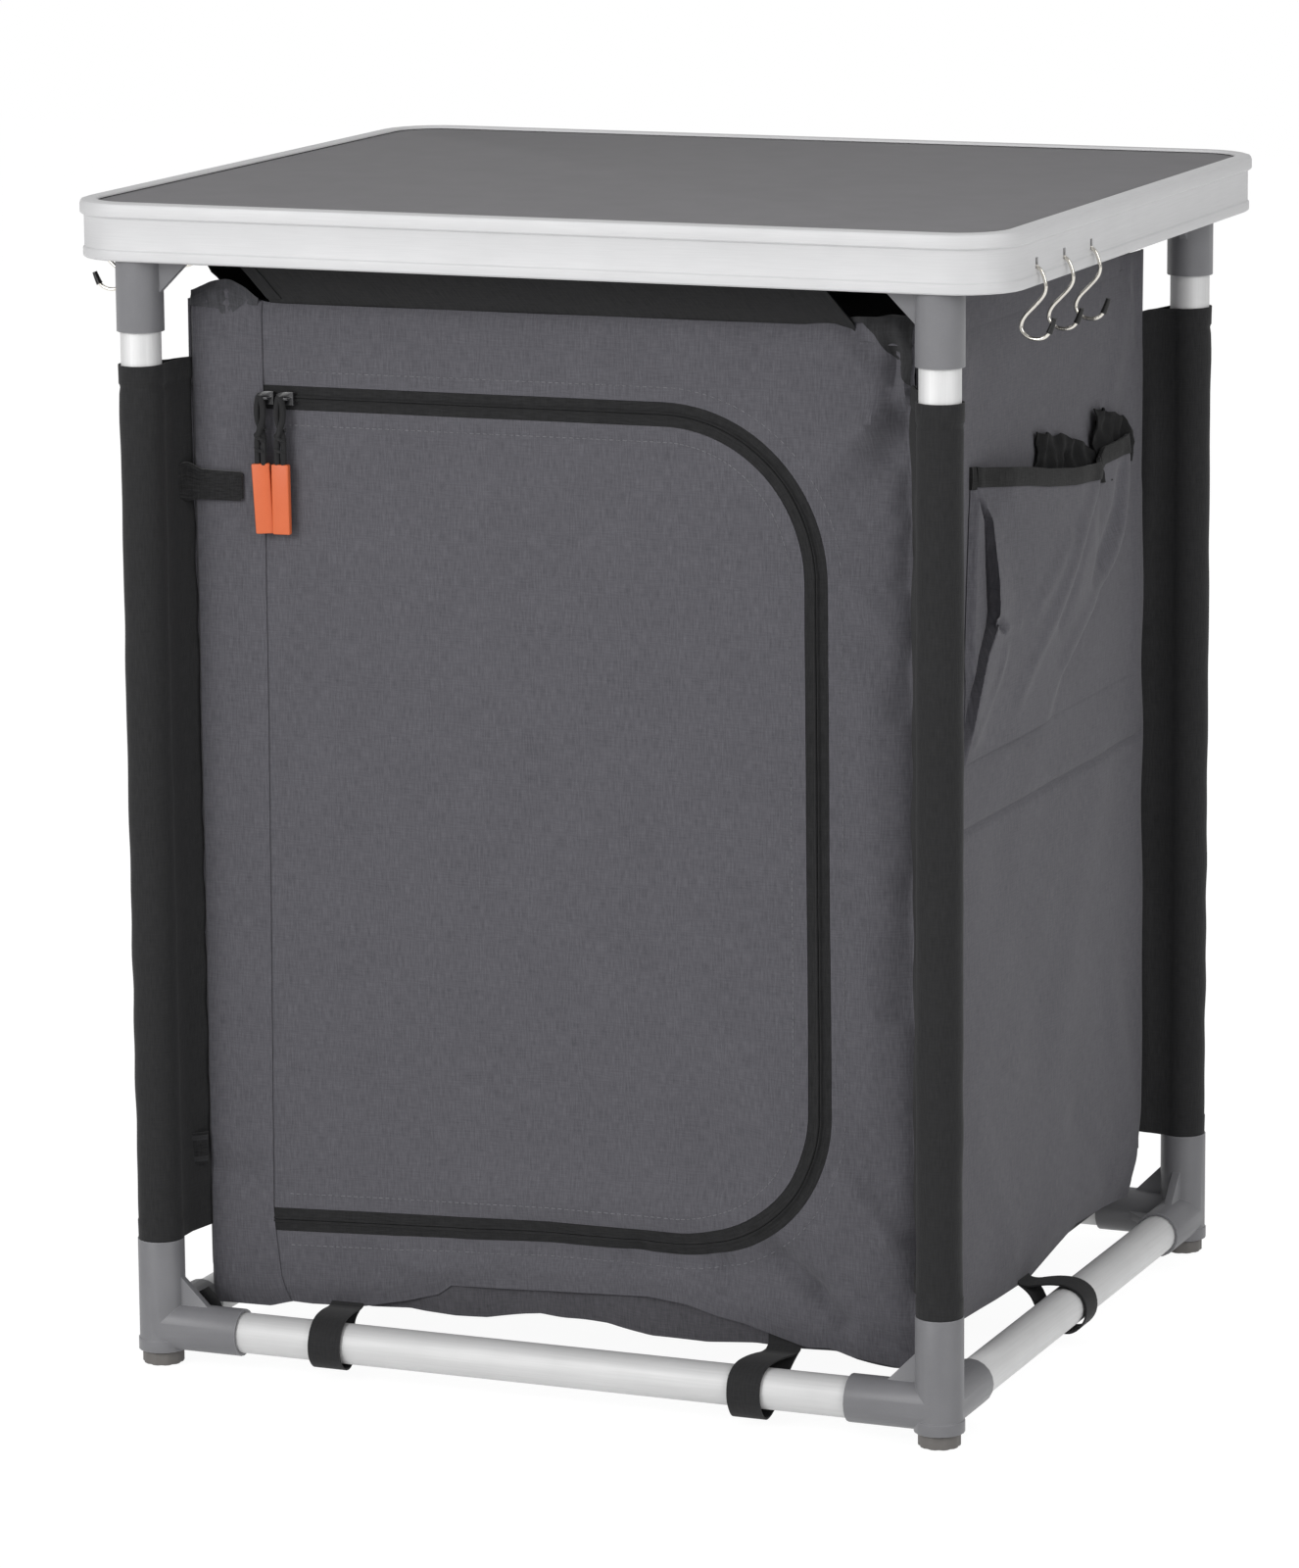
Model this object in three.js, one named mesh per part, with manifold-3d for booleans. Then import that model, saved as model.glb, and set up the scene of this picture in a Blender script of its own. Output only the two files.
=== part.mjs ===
// A camping cupboard: twelve aluminium tubes plugged into eight three-way corners, a framed
// tabletop that drops over them, and a zipped fabric cabinet that hangs inside on loops and sleeves.
// Millimetres, +Z up, the front faces -Y, and the origin is on the floor under the table's middle.
import * as THREE from 'three';
import { mergeVertices } from 'three/addons/utils/BufferGeometryUtils.js';
import Module from 'manifold-3d';

const wasm = await Module();
wasm.setup();

// Overall sizes
const tableLength = 600;
const tableDepth = 510;
const tableHeight = 720;
const legInsetX = 45;
const legInsetY = 19;

// Clearances
const fitGap = 0.3;
const socketGap = 0.3;
const cutOverrun = 5;

// Tubes
const tubeDiameter = 25;
const tubeWall = 1.2;
const roundSides = 20;

// Three-way corners
const socketWall = 1.8;
const cornerReach = 55.5;
const cornerCore = 15;
const gussetReach = 46;
const gussetThickness = 5;
const capChamfer = 2;
const collarHeight = 7;
const collarStep = 0.7;

// Levelling feet
const footHeight = 8.9;
const footDiameter = 25.6;
const footNotches = 10;
const footNotchDepth = 0.9;
const footBevel = 0.8;
const stepsPerNotch = 3;
const stemDiameter = 10;
const stemGrip = 6;
const footTravel = 8;

// Tabletop
const panelThickness = 6;
const tongueDrop = 0.8;
const lipSkin = 1.5;
const lipWidth = 10.7;
const lipHeight = 9;
const lipRounding = 2.6;
const bandHeight = 19;
const bandRecess = 2.4;
const rimWall = 1.2;
const beadHeight = 7;
const beadRecess = 1.5;
const beadChamfer = 1;
const ledgeWidth = 0.6;
const rimCornerRadius = 40;
const rimCornerSteps = 6;

// Hooks on the rim
const hooksPerSide = 3;
const hookPitch = 49.5;
const firstHookFromFront = 65;
const slotDrop = 22;
const slotWidth = 4.4;
const slotHeight = 6.5;
const hookWire = 2.6;
const hookTipDiameter = 4.2;
const hookTipShare = 0.14;
const hookHeight = 42;
const hookWidth = 20;
const hookSteps = 22;
const hookTipSteps = 3;
const wireSegments = 3;

// Cabinet
const cabinetSideInset = 24;
const cabinetFrontInset = 30;
const cabinetBackInset = 20;
const cabinetBottom = 37;
const cabinetTopDrop = 64;
const clothThickness = 2;
const boardThickness = 5;
const shelfHeightShare = 0.493;
const frontBulge = 4;
const sideBulge = 4;
const backBulge = 5;
const foldDepth = 2.2;
const frontFolds = 3.5;
const sideFolds = 2.5;

// Door and zip
const doorSeamFromSide = 43;
const zipFromTop = 55;
const zipFromBottom = 53;
const zipFromSide = 61;
const zipCornerRadius = 96;
const tapeHalfWidth = 7.2;
const coilHalfWidth = 1.8;
const coilProud = 1.3;
const calmBelowZip = 90;

// Zip sliders and pulls
const sliderLength = 11;
const sliderWidth = 8;
const sliderThickness = 2.5;
const sliderWaistShare = 0.6;
const sliderSpacing = 12.5;
const sliderFromSeam = 1.2;
const bailBar = 1.4;
const bailGap = 2.4;
const bailLength = 9;
const cordDiameter = 1.4;
const cordDrop = 40;
const gripLength = 43;
const gripWidth = 9.6;
const gripThickness = 4.6;
const gripRounding = 1.2;
const eyeSegments = 5;

// Leg sleeves and their wings
const sleeveWall = 1.1;
const sleeveTopDrop = 98.5;
const wingRise = 11;
const wingBottomRise = 6;
const wingThickness = 1.6;

// Loops over the rails
const loopWall = 1.1;
const flapLeftInset = 41;
const flapRightInset = 34;
const flapOverlap = 9;
const flapKnee = 6;
const sideLoopInset = 71;
const strapWidth = 21;
const frontStrapInset = 92;

// Side organiser
const organiserFrontInset = 96;
const organiserBackInset = 26;
const backPouchWidth = 94;
const organiserDrop = 96;
const organiserHeight = 175;
const organiserSwell = 17;
const organiserRoot = 4;

// Places worked out from the sizes above
const tubeRadius = tubeDiameter / 2;
const socketRadius = tubeRadius + socketGap;
const cornerRadius = socketRadius + socketWall;
const stemLength = footTravel + stemGrip;
const legX = tableLength / 2 - legInsetX;
const legY = tableDepth / 2 - legInsetY;
const lowRailZ = footHeight + cornerRadius;
const panelTop = tableHeight - lipSkin - fitGap;
const panelBottom = panelTop - panelThickness;
const highRailZ = panelBottom - fitGap - cornerRadius;
const rimHeight = lipHeight + bandHeight + beadHeight;
const cabinetX = legX - cabinetSideInset;
const cabinetLength = 2 * cabinetX;
const cabinetTop = tableHeight - cabinetTopDrop;
const cabinetFrontY = -legY + cabinetFrontInset;
const cabinetBackY = legY - cabinetBackInset;
const cabinetDepth = cabinetBackY - cabinetFrontY;
const cabinetMidY = (cabinetFrontY + cabinetBackY) / 2;
const cabinetHeight = cabinetTop - cabinetBottom;
const cabinetMidZ = (cabinetTop + cabinetBottom) / 2;
const shelfLevel = cabinetBottom + shelfHeightShare * cabinetHeight;
const seamX = -cabinetX + doorSeamFromSide;
const doorZipTop = cabinetTop - zipFromTop;
const doorZipBottom = cabinetBottom + zipFromBottom;
const doorZipRight = cabinetX - zipFromSide;
const organiserTop = cabinetTop - organiserDrop;
const organiserBottom = organiserTop - organiserHeight;
const organiserFront = cabinetFrontY + organiserFrontInset;
const organiserBack = cabinetBackY - organiserBackInset;
const organiserSplit = organiserBack - backPouchWidth;
const quarterTurn = Math.PI / 2;

// Finishes
const finish = (name, color, roughness, metalness) =>
  new THREE.MeshStandardMaterial({ name, color, roughness, metalness });
const aluminium = finish('anodised_aluminium', 0xd4d6d8, 0.35, 0.9);
const cornerPlastic = finish('corner_plastic', 0x7b7b7e, 0.55, 0);
const footPlastic = finish('foot_plastic', 0x77726f, 0.6, 0);
const tablePlate = finish('table_plate', 0x77767a, 0.6, 0);
const greyCloth = finish('grey_cloth', 0x59595f, 0.9, 0);
const blackCloth = finish('black_cloth', 0x262626, 0.9, 0);
const zipTape = finish('zip_tape', 0x2a2a2a, 0.8, 0);
const blackMetal = finish('black_metal', 0x1d1d1f, 0.45, 0.4);
const pullOrange = finish('pull_orange', 0xe0703c, 0.55, 0);
const chromedWire = finish('chromed_wire', 0xc9c6c0, 0.2, 1);

const part = new THREE.Group();

// Each piece is one named mesh of its own, with its own copy of the finish
function addPiece(name, geometry, material) {
  const piece = new THREE.Mesh(geometry, material.clone());
  piece.name = name;
  part.add(piece);
  return piece;
}

// Solids for cutting and joining
function toSolid(geometry) {
  const bare = geometry.clone();
  bare.deleteAttribute('normal');
  bare.deleteAttribute('uv');
  const merged = mergeVertices(bare);
  const mesh = new wasm.Mesh({
    numProp: 3,
    vertProperties: new Float32Array(merged.attributes.position.array),
    triVerts: new Uint32Array(merged.index.array),
  });
  return new wasm.Manifold(mesh);
}

function toGeometry(solid) {
  const mesh = solid.getMesh();
  const geometry = new THREE.BufferGeometry();
  geometry.setAttribute('position', new THREE.BufferAttribute(new Float32Array(mesh.vertProperties), 3));
  geometry.setIndex(new THREE.BufferAttribute(new Uint32Array(mesh.triVerts), 1));
  geometry.computeVertexNormals();
  return geometry;
}

// A geometry built along +Z is turned to run along the named axis
function turnTo(geometry, axis) {
  if (axis === 'x') geometry.rotateY(quarterTurn);
  if (axis === 'y') geometry.rotateX(-quarterTurn);
  return geometry;
}

// A round bar that starts at a place and runs a signed length along an axis
function roundBar(radius, length, axis, start, endRadius = radius) {
  const bar = new THREE.CylinderGeometry(endRadius, radius, Math.abs(length), roundSides);
  bar.rotateX(quarterTurn);
  if (length < 0) bar.rotateX(Math.PI);
  bar.translate(0, 0, length / 2);
  return turnTo(bar, axis).translate(...start);
}

// A ring section turned round +Z, from a low end to a high end
function pipe(outerRadius, innerRadius, low, high) {
  const section = [
    [innerRadius, low], [outerRadius, low], [outerRadius, high], [innerRadius, high], [innerRadius, low],
  ].map(([radius, height]) => new THREE.Vector2(radius, height));
  return new THREE.LatheGeometry(section, roundSides);
}

// A pipe along an axis, centred on a line through a place
function pipeAlong(outerRadius, innerRadius, length, axis, centre) {
  const tube = pipe(outerRadius, innerRadius, -length / 2, length / 2).rotateX(quarterTurn);
  return turnTo(tube, axis).translate(...centre);
}

// A flat outline given by corner points, extruded from zero
function plate(points, depth) {
  const outline = new THREE.Shape(points.map(([u, v]) => new THREE.Vector2(u, v)));
  return new THREE.ExtrudeGeometry(outline, { depth, bevelEnabled: false });
}

// Plates drawn as (y, z) and extruded along X, and as (x, z) extruded along Y, from a start place
const plateAlongX = (points, start, length) =>
  plate(points, length).rotateX(quarterTurn).rotateZ(quarterTurn).translate(start, 0, 0);
const plateAlongY = (points, start, length) =>
  plate(points, length).rotateX(quarterTurn).translate(0, start + length, 0);

// Frame tubes: each one stops at the solid cores of the two corners that it plugs into
const coreStop = cornerCore + fitGap;
const legLength = highRailZ - lowRailZ - 2 * coreStop;
const legMidZ = (highRailZ + lowRailZ) / 2;
const tubeInner = tubeRadius - tubeWall;
const sides = [['left', -1], ['right', 1]];
const ends = [['front', -1], ['back', 1]];
const levels = [['bottom', lowRailZ, 1], ['top', highRailZ, -1]];

for (const [end, signY] of ends) {
  for (const [side, signX] of sides) {
    const leg = pipeAlong(tubeRadius, tubeInner, legLength, 'z', [0, 0, 0]);
    addPiece(`leg_${end}_${side}`, leg, aluminium).position.set(signX * legX, signY * legY, legMidZ);
  }
}

for (const [level, railZ] of levels) {
  for (const [end, signY] of ends) {
    const rail = pipeAlong(tubeRadius, tubeInner, 2 * (legX - coreStop), 'x', [0, 0, 0]);
    addPiece(`rail_${level}_${end}`, rail, aluminium).position.set(0, signY * legY, railZ);
  }
  for (const [side, signX] of sides) {
    const rail = pipeAlong(tubeRadius, tubeInner, 2 * (legY - coreStop), 'y', [0, 0, 0]);
    addPiece(`rail_${level}_${side}`, rail, aluminium).position.set(signX * legX, 0, railZ);
  }
}

// A corner: an upright barrel and two arms, bored for the tubes, with a triangular web in each
// angle. Its middle is at zero; inX, inY and inZ say which way its arms and barrel run.
function cornerSolid(inX, inY, inZ) {
  const arms = [['x', inX], ['y', inY], ['z', inZ]];
  let solid = toSolid(roundBar(cornerRadius, cornerReach * inZ, 'z', [0, 0, 0]));
  for (const [axis, way] of arms.slice(0, 2)) {
    solid = solid.add(toSolid(roundBar(cornerRadius, cornerReach * way, axis, [0, 0, 0])));
  }
  const capLength = cornerRadius - capChamfer;
  solid = solid.add(toSolid(roundBar(cornerRadius, -capLength * inZ, 'z', [0, 0, 0])));
  const capStart = [0, 0, -capLength * inZ];
  const capTip = roundBar(cornerRadius, -capChamfer * inZ, 'z', capStart, cornerRadius - capChamfer);
  solid = solid.add(toSolid(inZ < 0 ? capTip : roundBar(cornerRadius, -capChamfer, 'z', capStart)));

  const half = gussetThickness / 2;
  const web = (wayU, wayV) => [[0, 0], [gussetReach * wayU, 0], [0, gussetReach * wayV]];
  solid = solid.add(toSolid(plateAlongY(web(inX, inZ), -half, gussetThickness)));
  solid = solid.add(toSolid(plateAlongX(web(inY, inZ), -half, gussetThickness)));
  solid = solid.add(toSolid(plate(web(inX, inY), gussetThickness).translate(0, 0, -half)));

  const boreLength = cornerReach - cornerCore + cutOverrun;
  for (const [axis, way] of arms) {
    const mouth = ['x', 'y', 'z'].map((name) => (name === axis ? cornerCore * way : 0));
    solid = solid.subtract(toSolid(roundBar(socketRadius, boreLength * way, axis, mouth)));
  }
  return solid;
}

// The bottom corner also has a collar round its foot end and a blind hole for the foot's stem
function bottomCorner(inX, inY) {
  const collarRadius = cornerRadius + collarStep;
  const taper = roundBar(collarRadius, collarStep, 'z', [0, 0, collarHeight - cornerRadius], cornerRadius);
  const collar = roundBar(collarRadius, collarHeight, 'z', [0, 0, -cornerRadius]);
  const stemHole = roundBar(stemDiameter / 2 + socketGap, stemLength + fitGap + cutOverrun, 'z',
    [0, 0, -cornerRadius - cutOverrun]);
  return cornerSolid(inX, inY, 1).add(toSolid(collar)).add(toSolid(taper)).subtract(toSolid(stemHole));
}

for (const [level, railZ, inZ] of levels) {
  for (const [end, signY] of ends) {
    for (const [side, signX] of sides) {
      const solid = inZ > 0 ? bottomCorner(-signX, -signY) : cornerSolid(-signX, -signY, inZ);
      const corner = addPiece(`corner_${level}_${end}_${side}`, toGeometry(solid), cornerPlastic);
      corner.position.set(signX * legX, signY * legY, railZ);
    }
  }
}

// A levelling foot: a notched grip with a plain stem up into the corner
function footSolid() {
  const outline = [];
  for (let i = 0; i < footNotches * stepsPerNotch; i += 1) {
    const angle = (i / (footNotches * stepsPerNotch)) * 2 * Math.PI;
    const inNotch = i % stepsPerNotch === 0;
    const radius = footDiameter / 2 - footBevel - (inNotch ? footNotchDepth : 0);
    outline.push(new THREE.Vector2(radius * Math.cos(angle), radius * Math.sin(angle)));
  }
  const grip = new THREE.ExtrudeGeometry(new THREE.Shape(outline), {
    depth: footHeight - fitGap - 2 * footBevel,
    bevelThickness: footBevel,
    bevelSize: footBevel,
    bevelSegments: 1,
  }).translate(0, 0, footBevel);
  const stem = roundBar(stemDiameter / 2, footHeight / 2 + stemLength, 'z', [0, 0, footHeight / 2]);
  return toSolid(grip).add(toSolid(stem));
}

for (const [end, signY] of ends) {
  for (const [side, signX] of sides) {
    const foot = addPiece(`foot_${end}_${side}`, toGeometry(footSolid()), footPlastic);
    foot.position.set(signX * legX, signY * legY, 0);
  }
}

// Points round a rounded rectangle the size of the tabletop, moved in by an inset
function tableOutline(inset) {
  const halfX = tableLength / 2 - inset;
  const halfY = tableDepth / 2 - inset;
  const radius = rimCornerRadius - inset;
  const corners = [[1, 1], [-1, 1], [-1, -1], [1, -1]];
  return corners.flatMap(([signX, signY], quadrant) => {
    const steps = Array.from({ length: rimCornerSteps + 1 }, (_, i) => i / rimCornerSteps);
    return steps.map((share) => {
      const angle = (quadrant + share) * quarterTurn;
      const x = signX * (halfX - radius) + radius * Math.cos(angle);
      const y = signY * (halfY - radius) + radius * Math.sin(angle);
      return [x, y];
    });
  });
}

// Rim: one closed section, given as inset from the edge and height, carried round the outline
const lipBottom = tableHeight - lipHeight;
const bandBottom = lipBottom - bandHeight;
const rimBottom = tableHeight - rimHeight;
const wallInset = bandRecess + rimWall;
const ledgeTop = panelBottom - fitGap;
const rimSection = [
  [lipWidth, tableHeight - lipSkin],
  [lipWidth, tableHeight - lipSkin / 2],
  [lipWidth - lipSkin / 2, tableHeight],
  [lipRounding, tableHeight],
  [lipRounding / 4, tableHeight - lipRounding / 4],
  [0, tableHeight - lipRounding],
  [0, lipBottom + beadChamfer],
  [beadChamfer, lipBottom],
  [bandRecess, lipBottom],
  [bandRecess, bandBottom],
  [beadRecess, bandBottom - beadChamfer],
  [beadRecess, rimBottom + beadChamfer],
  [bandRecess, rimBottom],
  [wallInset, rimBottom],
  [wallInset, ledgeTop - rimWall],
  [wallInset + ledgeWidth, ledgeTop - rimWall],
  [wallInset + ledgeWidth, ledgeTop],
  [lipSkin, ledgeTop],
  [lipSkin, tableHeight - lipSkin],
];

function carryRound(section) {
  const rings = section.map(([inset, height]) => tableOutline(inset).map(([x, y]) => [x, y, height]));
  const count = rings[0].length;
  const index = [];
  rings.forEach((ring, i) => {
    const next = (i + 1) % rings.length;
    ring.forEach((point, j) => {
      const a = i * count + j;
      const b = i * count + ((j + 1) % count);
      const c = next * count + ((j + 1) % count);
      const d = next * count + j;
      index.push(a, c, b, a, d, c);
    });
  });
  const geometry = new THREE.BufferGeometry();
  geometry.setAttribute('position', new THREE.Float32BufferAttribute(rings.flat(2), 3));
  geometry.setIndex(index);
  return geometry;
}

// Hook places along each side, and the slots that they hang in
const slotZ = tableHeight - slotDrop;
const wallX = tableLength / 2 - bandRecess - rimWall / 2;
const hookPivotZ = slotZ - slotHeight / 2 + fitGap + hookWire / 2;
const hookPlaces = Array.from({ length: hooksPerSide }, (_, i) =>
  -tableDepth / 2 + firstHookFromFront + i * hookPitch);
let rim = toSolid(carryRound(rimSection));
for (const [, signX] of sides) {
  for (const y of hookPlaces) {
    const cutter = new THREE.BoxGeometry(wallInset + 2 * cutOverrun, slotWidth, slotHeight);
    rim = rim.subtract(toSolid(cutter.translate(signX * (tableLength / 2 - wallInset / 2), y, slotZ)));
  }
}
const rimGeometry = toGeometry(rim);
addPiece('table_rim', rimGeometry, aluminium);

// The plate's edge is a tongue in the rim's channel, and its top is clear inside the lip
const tongue = toSolid(plate(tableOutline(lipSkin + fitGap), panelThickness - tongueDrop));
const plateTop = toSolid(plate(tableOutline(lipWidth + fitGap), panelThickness));
addPiece('table_panel', toGeometry(tongue.add(plateTop)), tablePlate).position.set(0, 0, panelBottom);

// An S-hook of wire: its short end goes in through the slot and down behind the wall, and its long
// end bows out past the rim, crosses under it and turns up outside. Drawn for the right side.
function hookGeometry(signX) {
  const outShares = [-0.34, -0.36, -0.2, 0, 0.22, 0.42, 0.46, 0.1, -0.36, -0.3, 0.08, 0.5, 0.62];
  const downShares = [0.22, 0.08, 0, 0, 0.01, 0.1, 0.24, 0.5, 0.74, 0.92, 1, 0.88, 0.66];
  const points = outShares.map((share, i) => new THREE.Vector3(
    signX * (wallX + share * hookWidth), 0, hookPivotZ - downShares[i] * hookHeight));
  const route = new THREE.CatmullRomCurve3(points);
  const round = (radius) => {
    const section = new THREE.Shape();
    section.absarc(0, 0, radius, 0, 2 * Math.PI);
    return section;
  };
  const wire = new THREE.ExtrudeGeometry(round(hookWire / 2), {
    steps: hookSteps, curveSegments: wireSegments, extrudePath: route,
  });
  const tipStart = 1 - hookTipShare;
  const tipRoute = new THREE.CatmullRomCurve3(Array.from({ length: hookTipSteps + 1 }, (_, i) =>
    route.getPointAt(tipStart + (i / hookTipSteps) * hookTipShare)));
  tipRoute.points[hookTipSteps].add(tipRoute.getTangentAt(1).multiplyScalar(hookWire / 2));
  const tip = new THREE.ExtrudeGeometry(round(hookTipDiameter / 2), {
    steps: hookTipSteps, curveSegments: wireSegments, extrudePath: tipRoute,
  });
  return toGeometry(toSolid(wire).add(toSolid(tip)));
}

for (const [side, signX] of sides) {
  hookPlaces.forEach((y, i) => {
    addPiece(`hook_${side}_${i + 1}`, hookGeometry(signX), chromedWire).position.set(0, y, 0);
  });
}

// Cloth panels are drawn flat, across and up, with their outer face towards +Z, and swell outwards
const smooth = (low, high, value) => {
  const share = Math.min(Math.max((value - low) / (high - low), 0), 1);
  return share * share * (3 - 2 * share);
};
const arch = (low, high, value) =>
  (value > low && value < high ? Math.sin((Math.PI * (value - low)) / (high - low)) : 0);

// How far the front cloth stands out at a place of the cabinet; it lies flat near the zip's top run
function frontSwell(x, z) {
  const across = arch(-cabinetX, cabinetX, x);
  const calm = 1 - smooth(doorZipTop - calmBelowZip, doorZipTop - calmBelowZip / 2, z);
  const up = arch(cabinetBottom, doorZipTop, z) * calm;
  const folds = Math.sin((frontFolds * 2 * Math.PI * (x + cabinetX)) / cabinetLength);
  return frontBulge * across * up + foldDepth * folds * across * up;
}

function sideSwell(y, z) {
  const across = arch(cabinetFrontY, cabinetBackY, y);
  const up = arch(cabinetBottom, cabinetTop, z);
  const folds = Math.sin((sideFolds * 2 * Math.PI * (y - cabinetFrontY)) / cabinetDepth);
  return sideBulge * across * up + (foldDepth / 2) * folds * across * up * smooth(organiserBottom, 0, z);
}

function backSwell(x, z) {
  return backBulge * arch(-cabinetX, cabinetX, x) * arch(cabinetBottom, cabinetTop, z);
}

// A slab of cloth on a grid: its middle plane bends with the swell, its thickness stays
function clothSlab(width, height, thickness, columns, rows, swell) {
  const slab = new THREE.BoxGeometry(width, height, thickness, columns, rows, 1);
  const place = slab.attributes.position;
  for (let i = 0; i < place.count; i += 1) {
    place.setZ(i, place.getZ(i) + swell(place.getX(i), place.getY(i)));
  }
  return slab;
}

// The zip's line round the door, grown outwards by a width and stopped at an x beside the seam
function doorOutline(grow, leftX) {
  const top = doorZipTop + grow - cabinetMidZ;
  const bottom = doorZipBottom - grow - cabinetMidZ;
  const right = doorZipRight + grow;
  const radius = zipCornerRadius + grow;
  const outline = new THREE.Shape();
  outline.moveTo(leftX, bottom);
  outline.lineTo(right - radius, bottom);
  outline.absarc(right - radius, bottom + radius, radius, -quarterTurn, 0);
  outline.lineTo(right, top - radius);
  outline.absarc(right - radius, top - radius, radius, 0, quarterTurn);
  outline.lineTo(leftX, top);
  outline.closePath();
  return outline;
}

function doorPrism(grow, leftX) {
  const depth = 2 * (clothThickness + frontBulge + foldDepth + coilProud + cutOverrun);
  return toSolid(new THREE.ExtrudeGeometry(doorOutline(grow, leftX), {
    depth, curveSegments: 5, bevelEnabled: false,
  }).translate(0, 0, -depth / 2));
}

const frontColumns = 12;
const frontRows = 10;
const frontLocal = (x, y) => frontSwell(x, y + cabinetMidZ);
const frontSlab = (thickness, outwards) => toSolid(clothSlab(
  cabinetLength, cabinetHeight, thickness, frontColumns, frontRows, frontLocal,
).translate(0, 0, outwards));
const frontSheet = frontSlab(clothThickness, 0);
const coilSheet = frontSlab(clothThickness + coilProud, coilProud / 2);
const halfGap = fitGap / 2;

function addFront(name, solid, material) {
  const piece = addPiece(name, toGeometry(solid), material);
  piece.position.set(0, cabinetFrontY + clothThickness / 2, cabinetMidZ);
  piece.rotation.x = quarterTurn;
}

addFront('front_panel', frontSheet.subtract(doorPrism(tapeHalfWidth + halfGap, seamX - halfGap)), greyCloth);
addFront('door_panel', frontSheet.intersect(doorPrism(-tapeHalfWidth - halfGap, seamX + halfGap)), greyCloth);

// Each half of the zip is a flat tape with half of the coil standing proud along its inner edge
const tapeLeft = seamX + halfGap;
const outerTape = frontSheet.intersect(doorPrism(tapeHalfWidth - halfGap, tapeLeft));
const outerCoil = coilSheet.intersect(doorPrism(coilHalfWidth, tapeLeft));
const insideLine = doorPrism(halfGap, seamX - cutOverrun);
addFront('zip_frame_half', outerTape.add(outerCoil).subtract(insideLine), zipTape);
const innerTape = frontSheet.intersect(doorPrism(-halfGap, tapeLeft));
const innerCoil = coilSheet.intersect(doorPrism(-halfGap, tapeLeft));
const doorLine = doorPrism(-tapeHalfWidth + halfGap, seamX - cutOverrun);
const coilLine = doorPrism(-coilHalfWidth, seamX - cutOverrun);
addFront('zip_door_half', innerTape.subtract(doorLine).add(innerCoil.subtract(coilLine)), zipTape);

// Zip sliders on the coil, each with an arched bail, and the cord pulls that hang from the bails
const coilFrontY = cabinetFrontY - coilProud;
const sliderBackY = coilFrontY - fitGap;
const bailY = sliderBackY - sliderThickness - bailGap - bailBar / 2;
const firstSliderX = seamX + sliderFromSeam + sliderLength / 2;
const sliderNames = ['left', 'right'];

function sliderSolid() {
  const halfLength = sliderLength / 2;
  const halfWidth = sliderWidth / 2;
  const waist = halfWidth * sliderWaistShare;
  const body = plateAlongY([
    [-halfLength, -waist], [0, -halfWidth], [halfLength, -halfWidth],
    [halfLength, halfWidth], [0, halfWidth], [-halfLength, waist],
  ], sliderBackY - sliderThickness, sliderThickness);
  const out = bailGap + bailBar;
  const arm = bailLength / 2;
  const arched = new THREE.Shape([
    [-arm, 0], [-arm + bailBar, 0], [-arm + 2 * bailBar, bailGap], [arm - 2 * bailBar, bailGap],
    [arm - bailBar, 0], [arm, 0], [arm - bailBar, out], [-arm + bailBar, out],
  ].map(([u, v]) => new THREE.Vector2(u, v)));
  const bail = new THREE.ExtrudeGeometry(arched, { depth: bailBar, bevelEnabled: false });
  bail.rotateX(Math.PI).translate(0, sliderBackY - sliderThickness, bailBar / 2);
  return toSolid(body).add(toSolid(bail));
}

function pullSolid() {
  const inner = bailBar / Math.SQRT2 + fitGap;
  const outer = inner + cordDiameter;
  const loop = new THREE.Shape();
  loop.absarc(0, 0, outer, 0, Math.PI);
  loop.lineTo(-outer, -cordDrop);
  loop.lineTo(outer, -cordDrop);
  const eye = new THREE.Path();
  eye.absarc(0, 0, inner, 0, Math.PI);
  eye.lineTo(-inner, -cordDrop + cordDiameter);
  eye.lineTo(inner, -cordDrop + cordDiameter);
  eye.closePath();
  loop.holes.push(eye);
  const cord = new THREE.ExtrudeGeometry(loop, {
    depth: cordDiameter, curveSegments: eyeSegments, bevelEnabled: false,
  });
  cord.rotateX(quarterTurn).rotateZ(quarterTurn).translate(-cordDiameter / 2, 0, 0);
  const halfWidth = gripWidth / 2 - gripRounding;
  const halfThickness = gripThickness / 2 - gripRounding;
  const section = new THREE.Shape([
    [-halfWidth, -halfThickness], [halfWidth, -halfThickness],
    [halfWidth, halfThickness], [-halfWidth, halfThickness],
  ].map(([u, v]) => new THREE.Vector2(u, v)));
  const grip = new THREE.ExtrudeGeometry(section, {
    depth: gripLength - 2 * gripRounding,
    bevelThickness: gripRounding,
    bevelSize: gripRounding,
    bevelSegments: 2,
  }).translate(0, 0, -cordDrop - gripLength + gripRounding + cordDiameter / 2);
  return toSolid(cord).add(toSolid(grip));
}

sliderNames.forEach((side, i) => {
  const x = firstSliderX + i * sliderSpacing;
  addPiece(`slider_${side}`, toGeometry(sliderSolid()), blackMetal).position.set(x, 0, doorZipTop);
  addPiece(`pull_${side}`, toGeometry(pullSolid()), pullOrange).position.set(x, bailY, doorZipTop);
});

// A loop round a rail with a tail that follows (y, z) points, in the rail's own cross-section
const loopInner = tubeRadius + socketGap;
const loopOuter = loopInner + loopWall;

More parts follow.
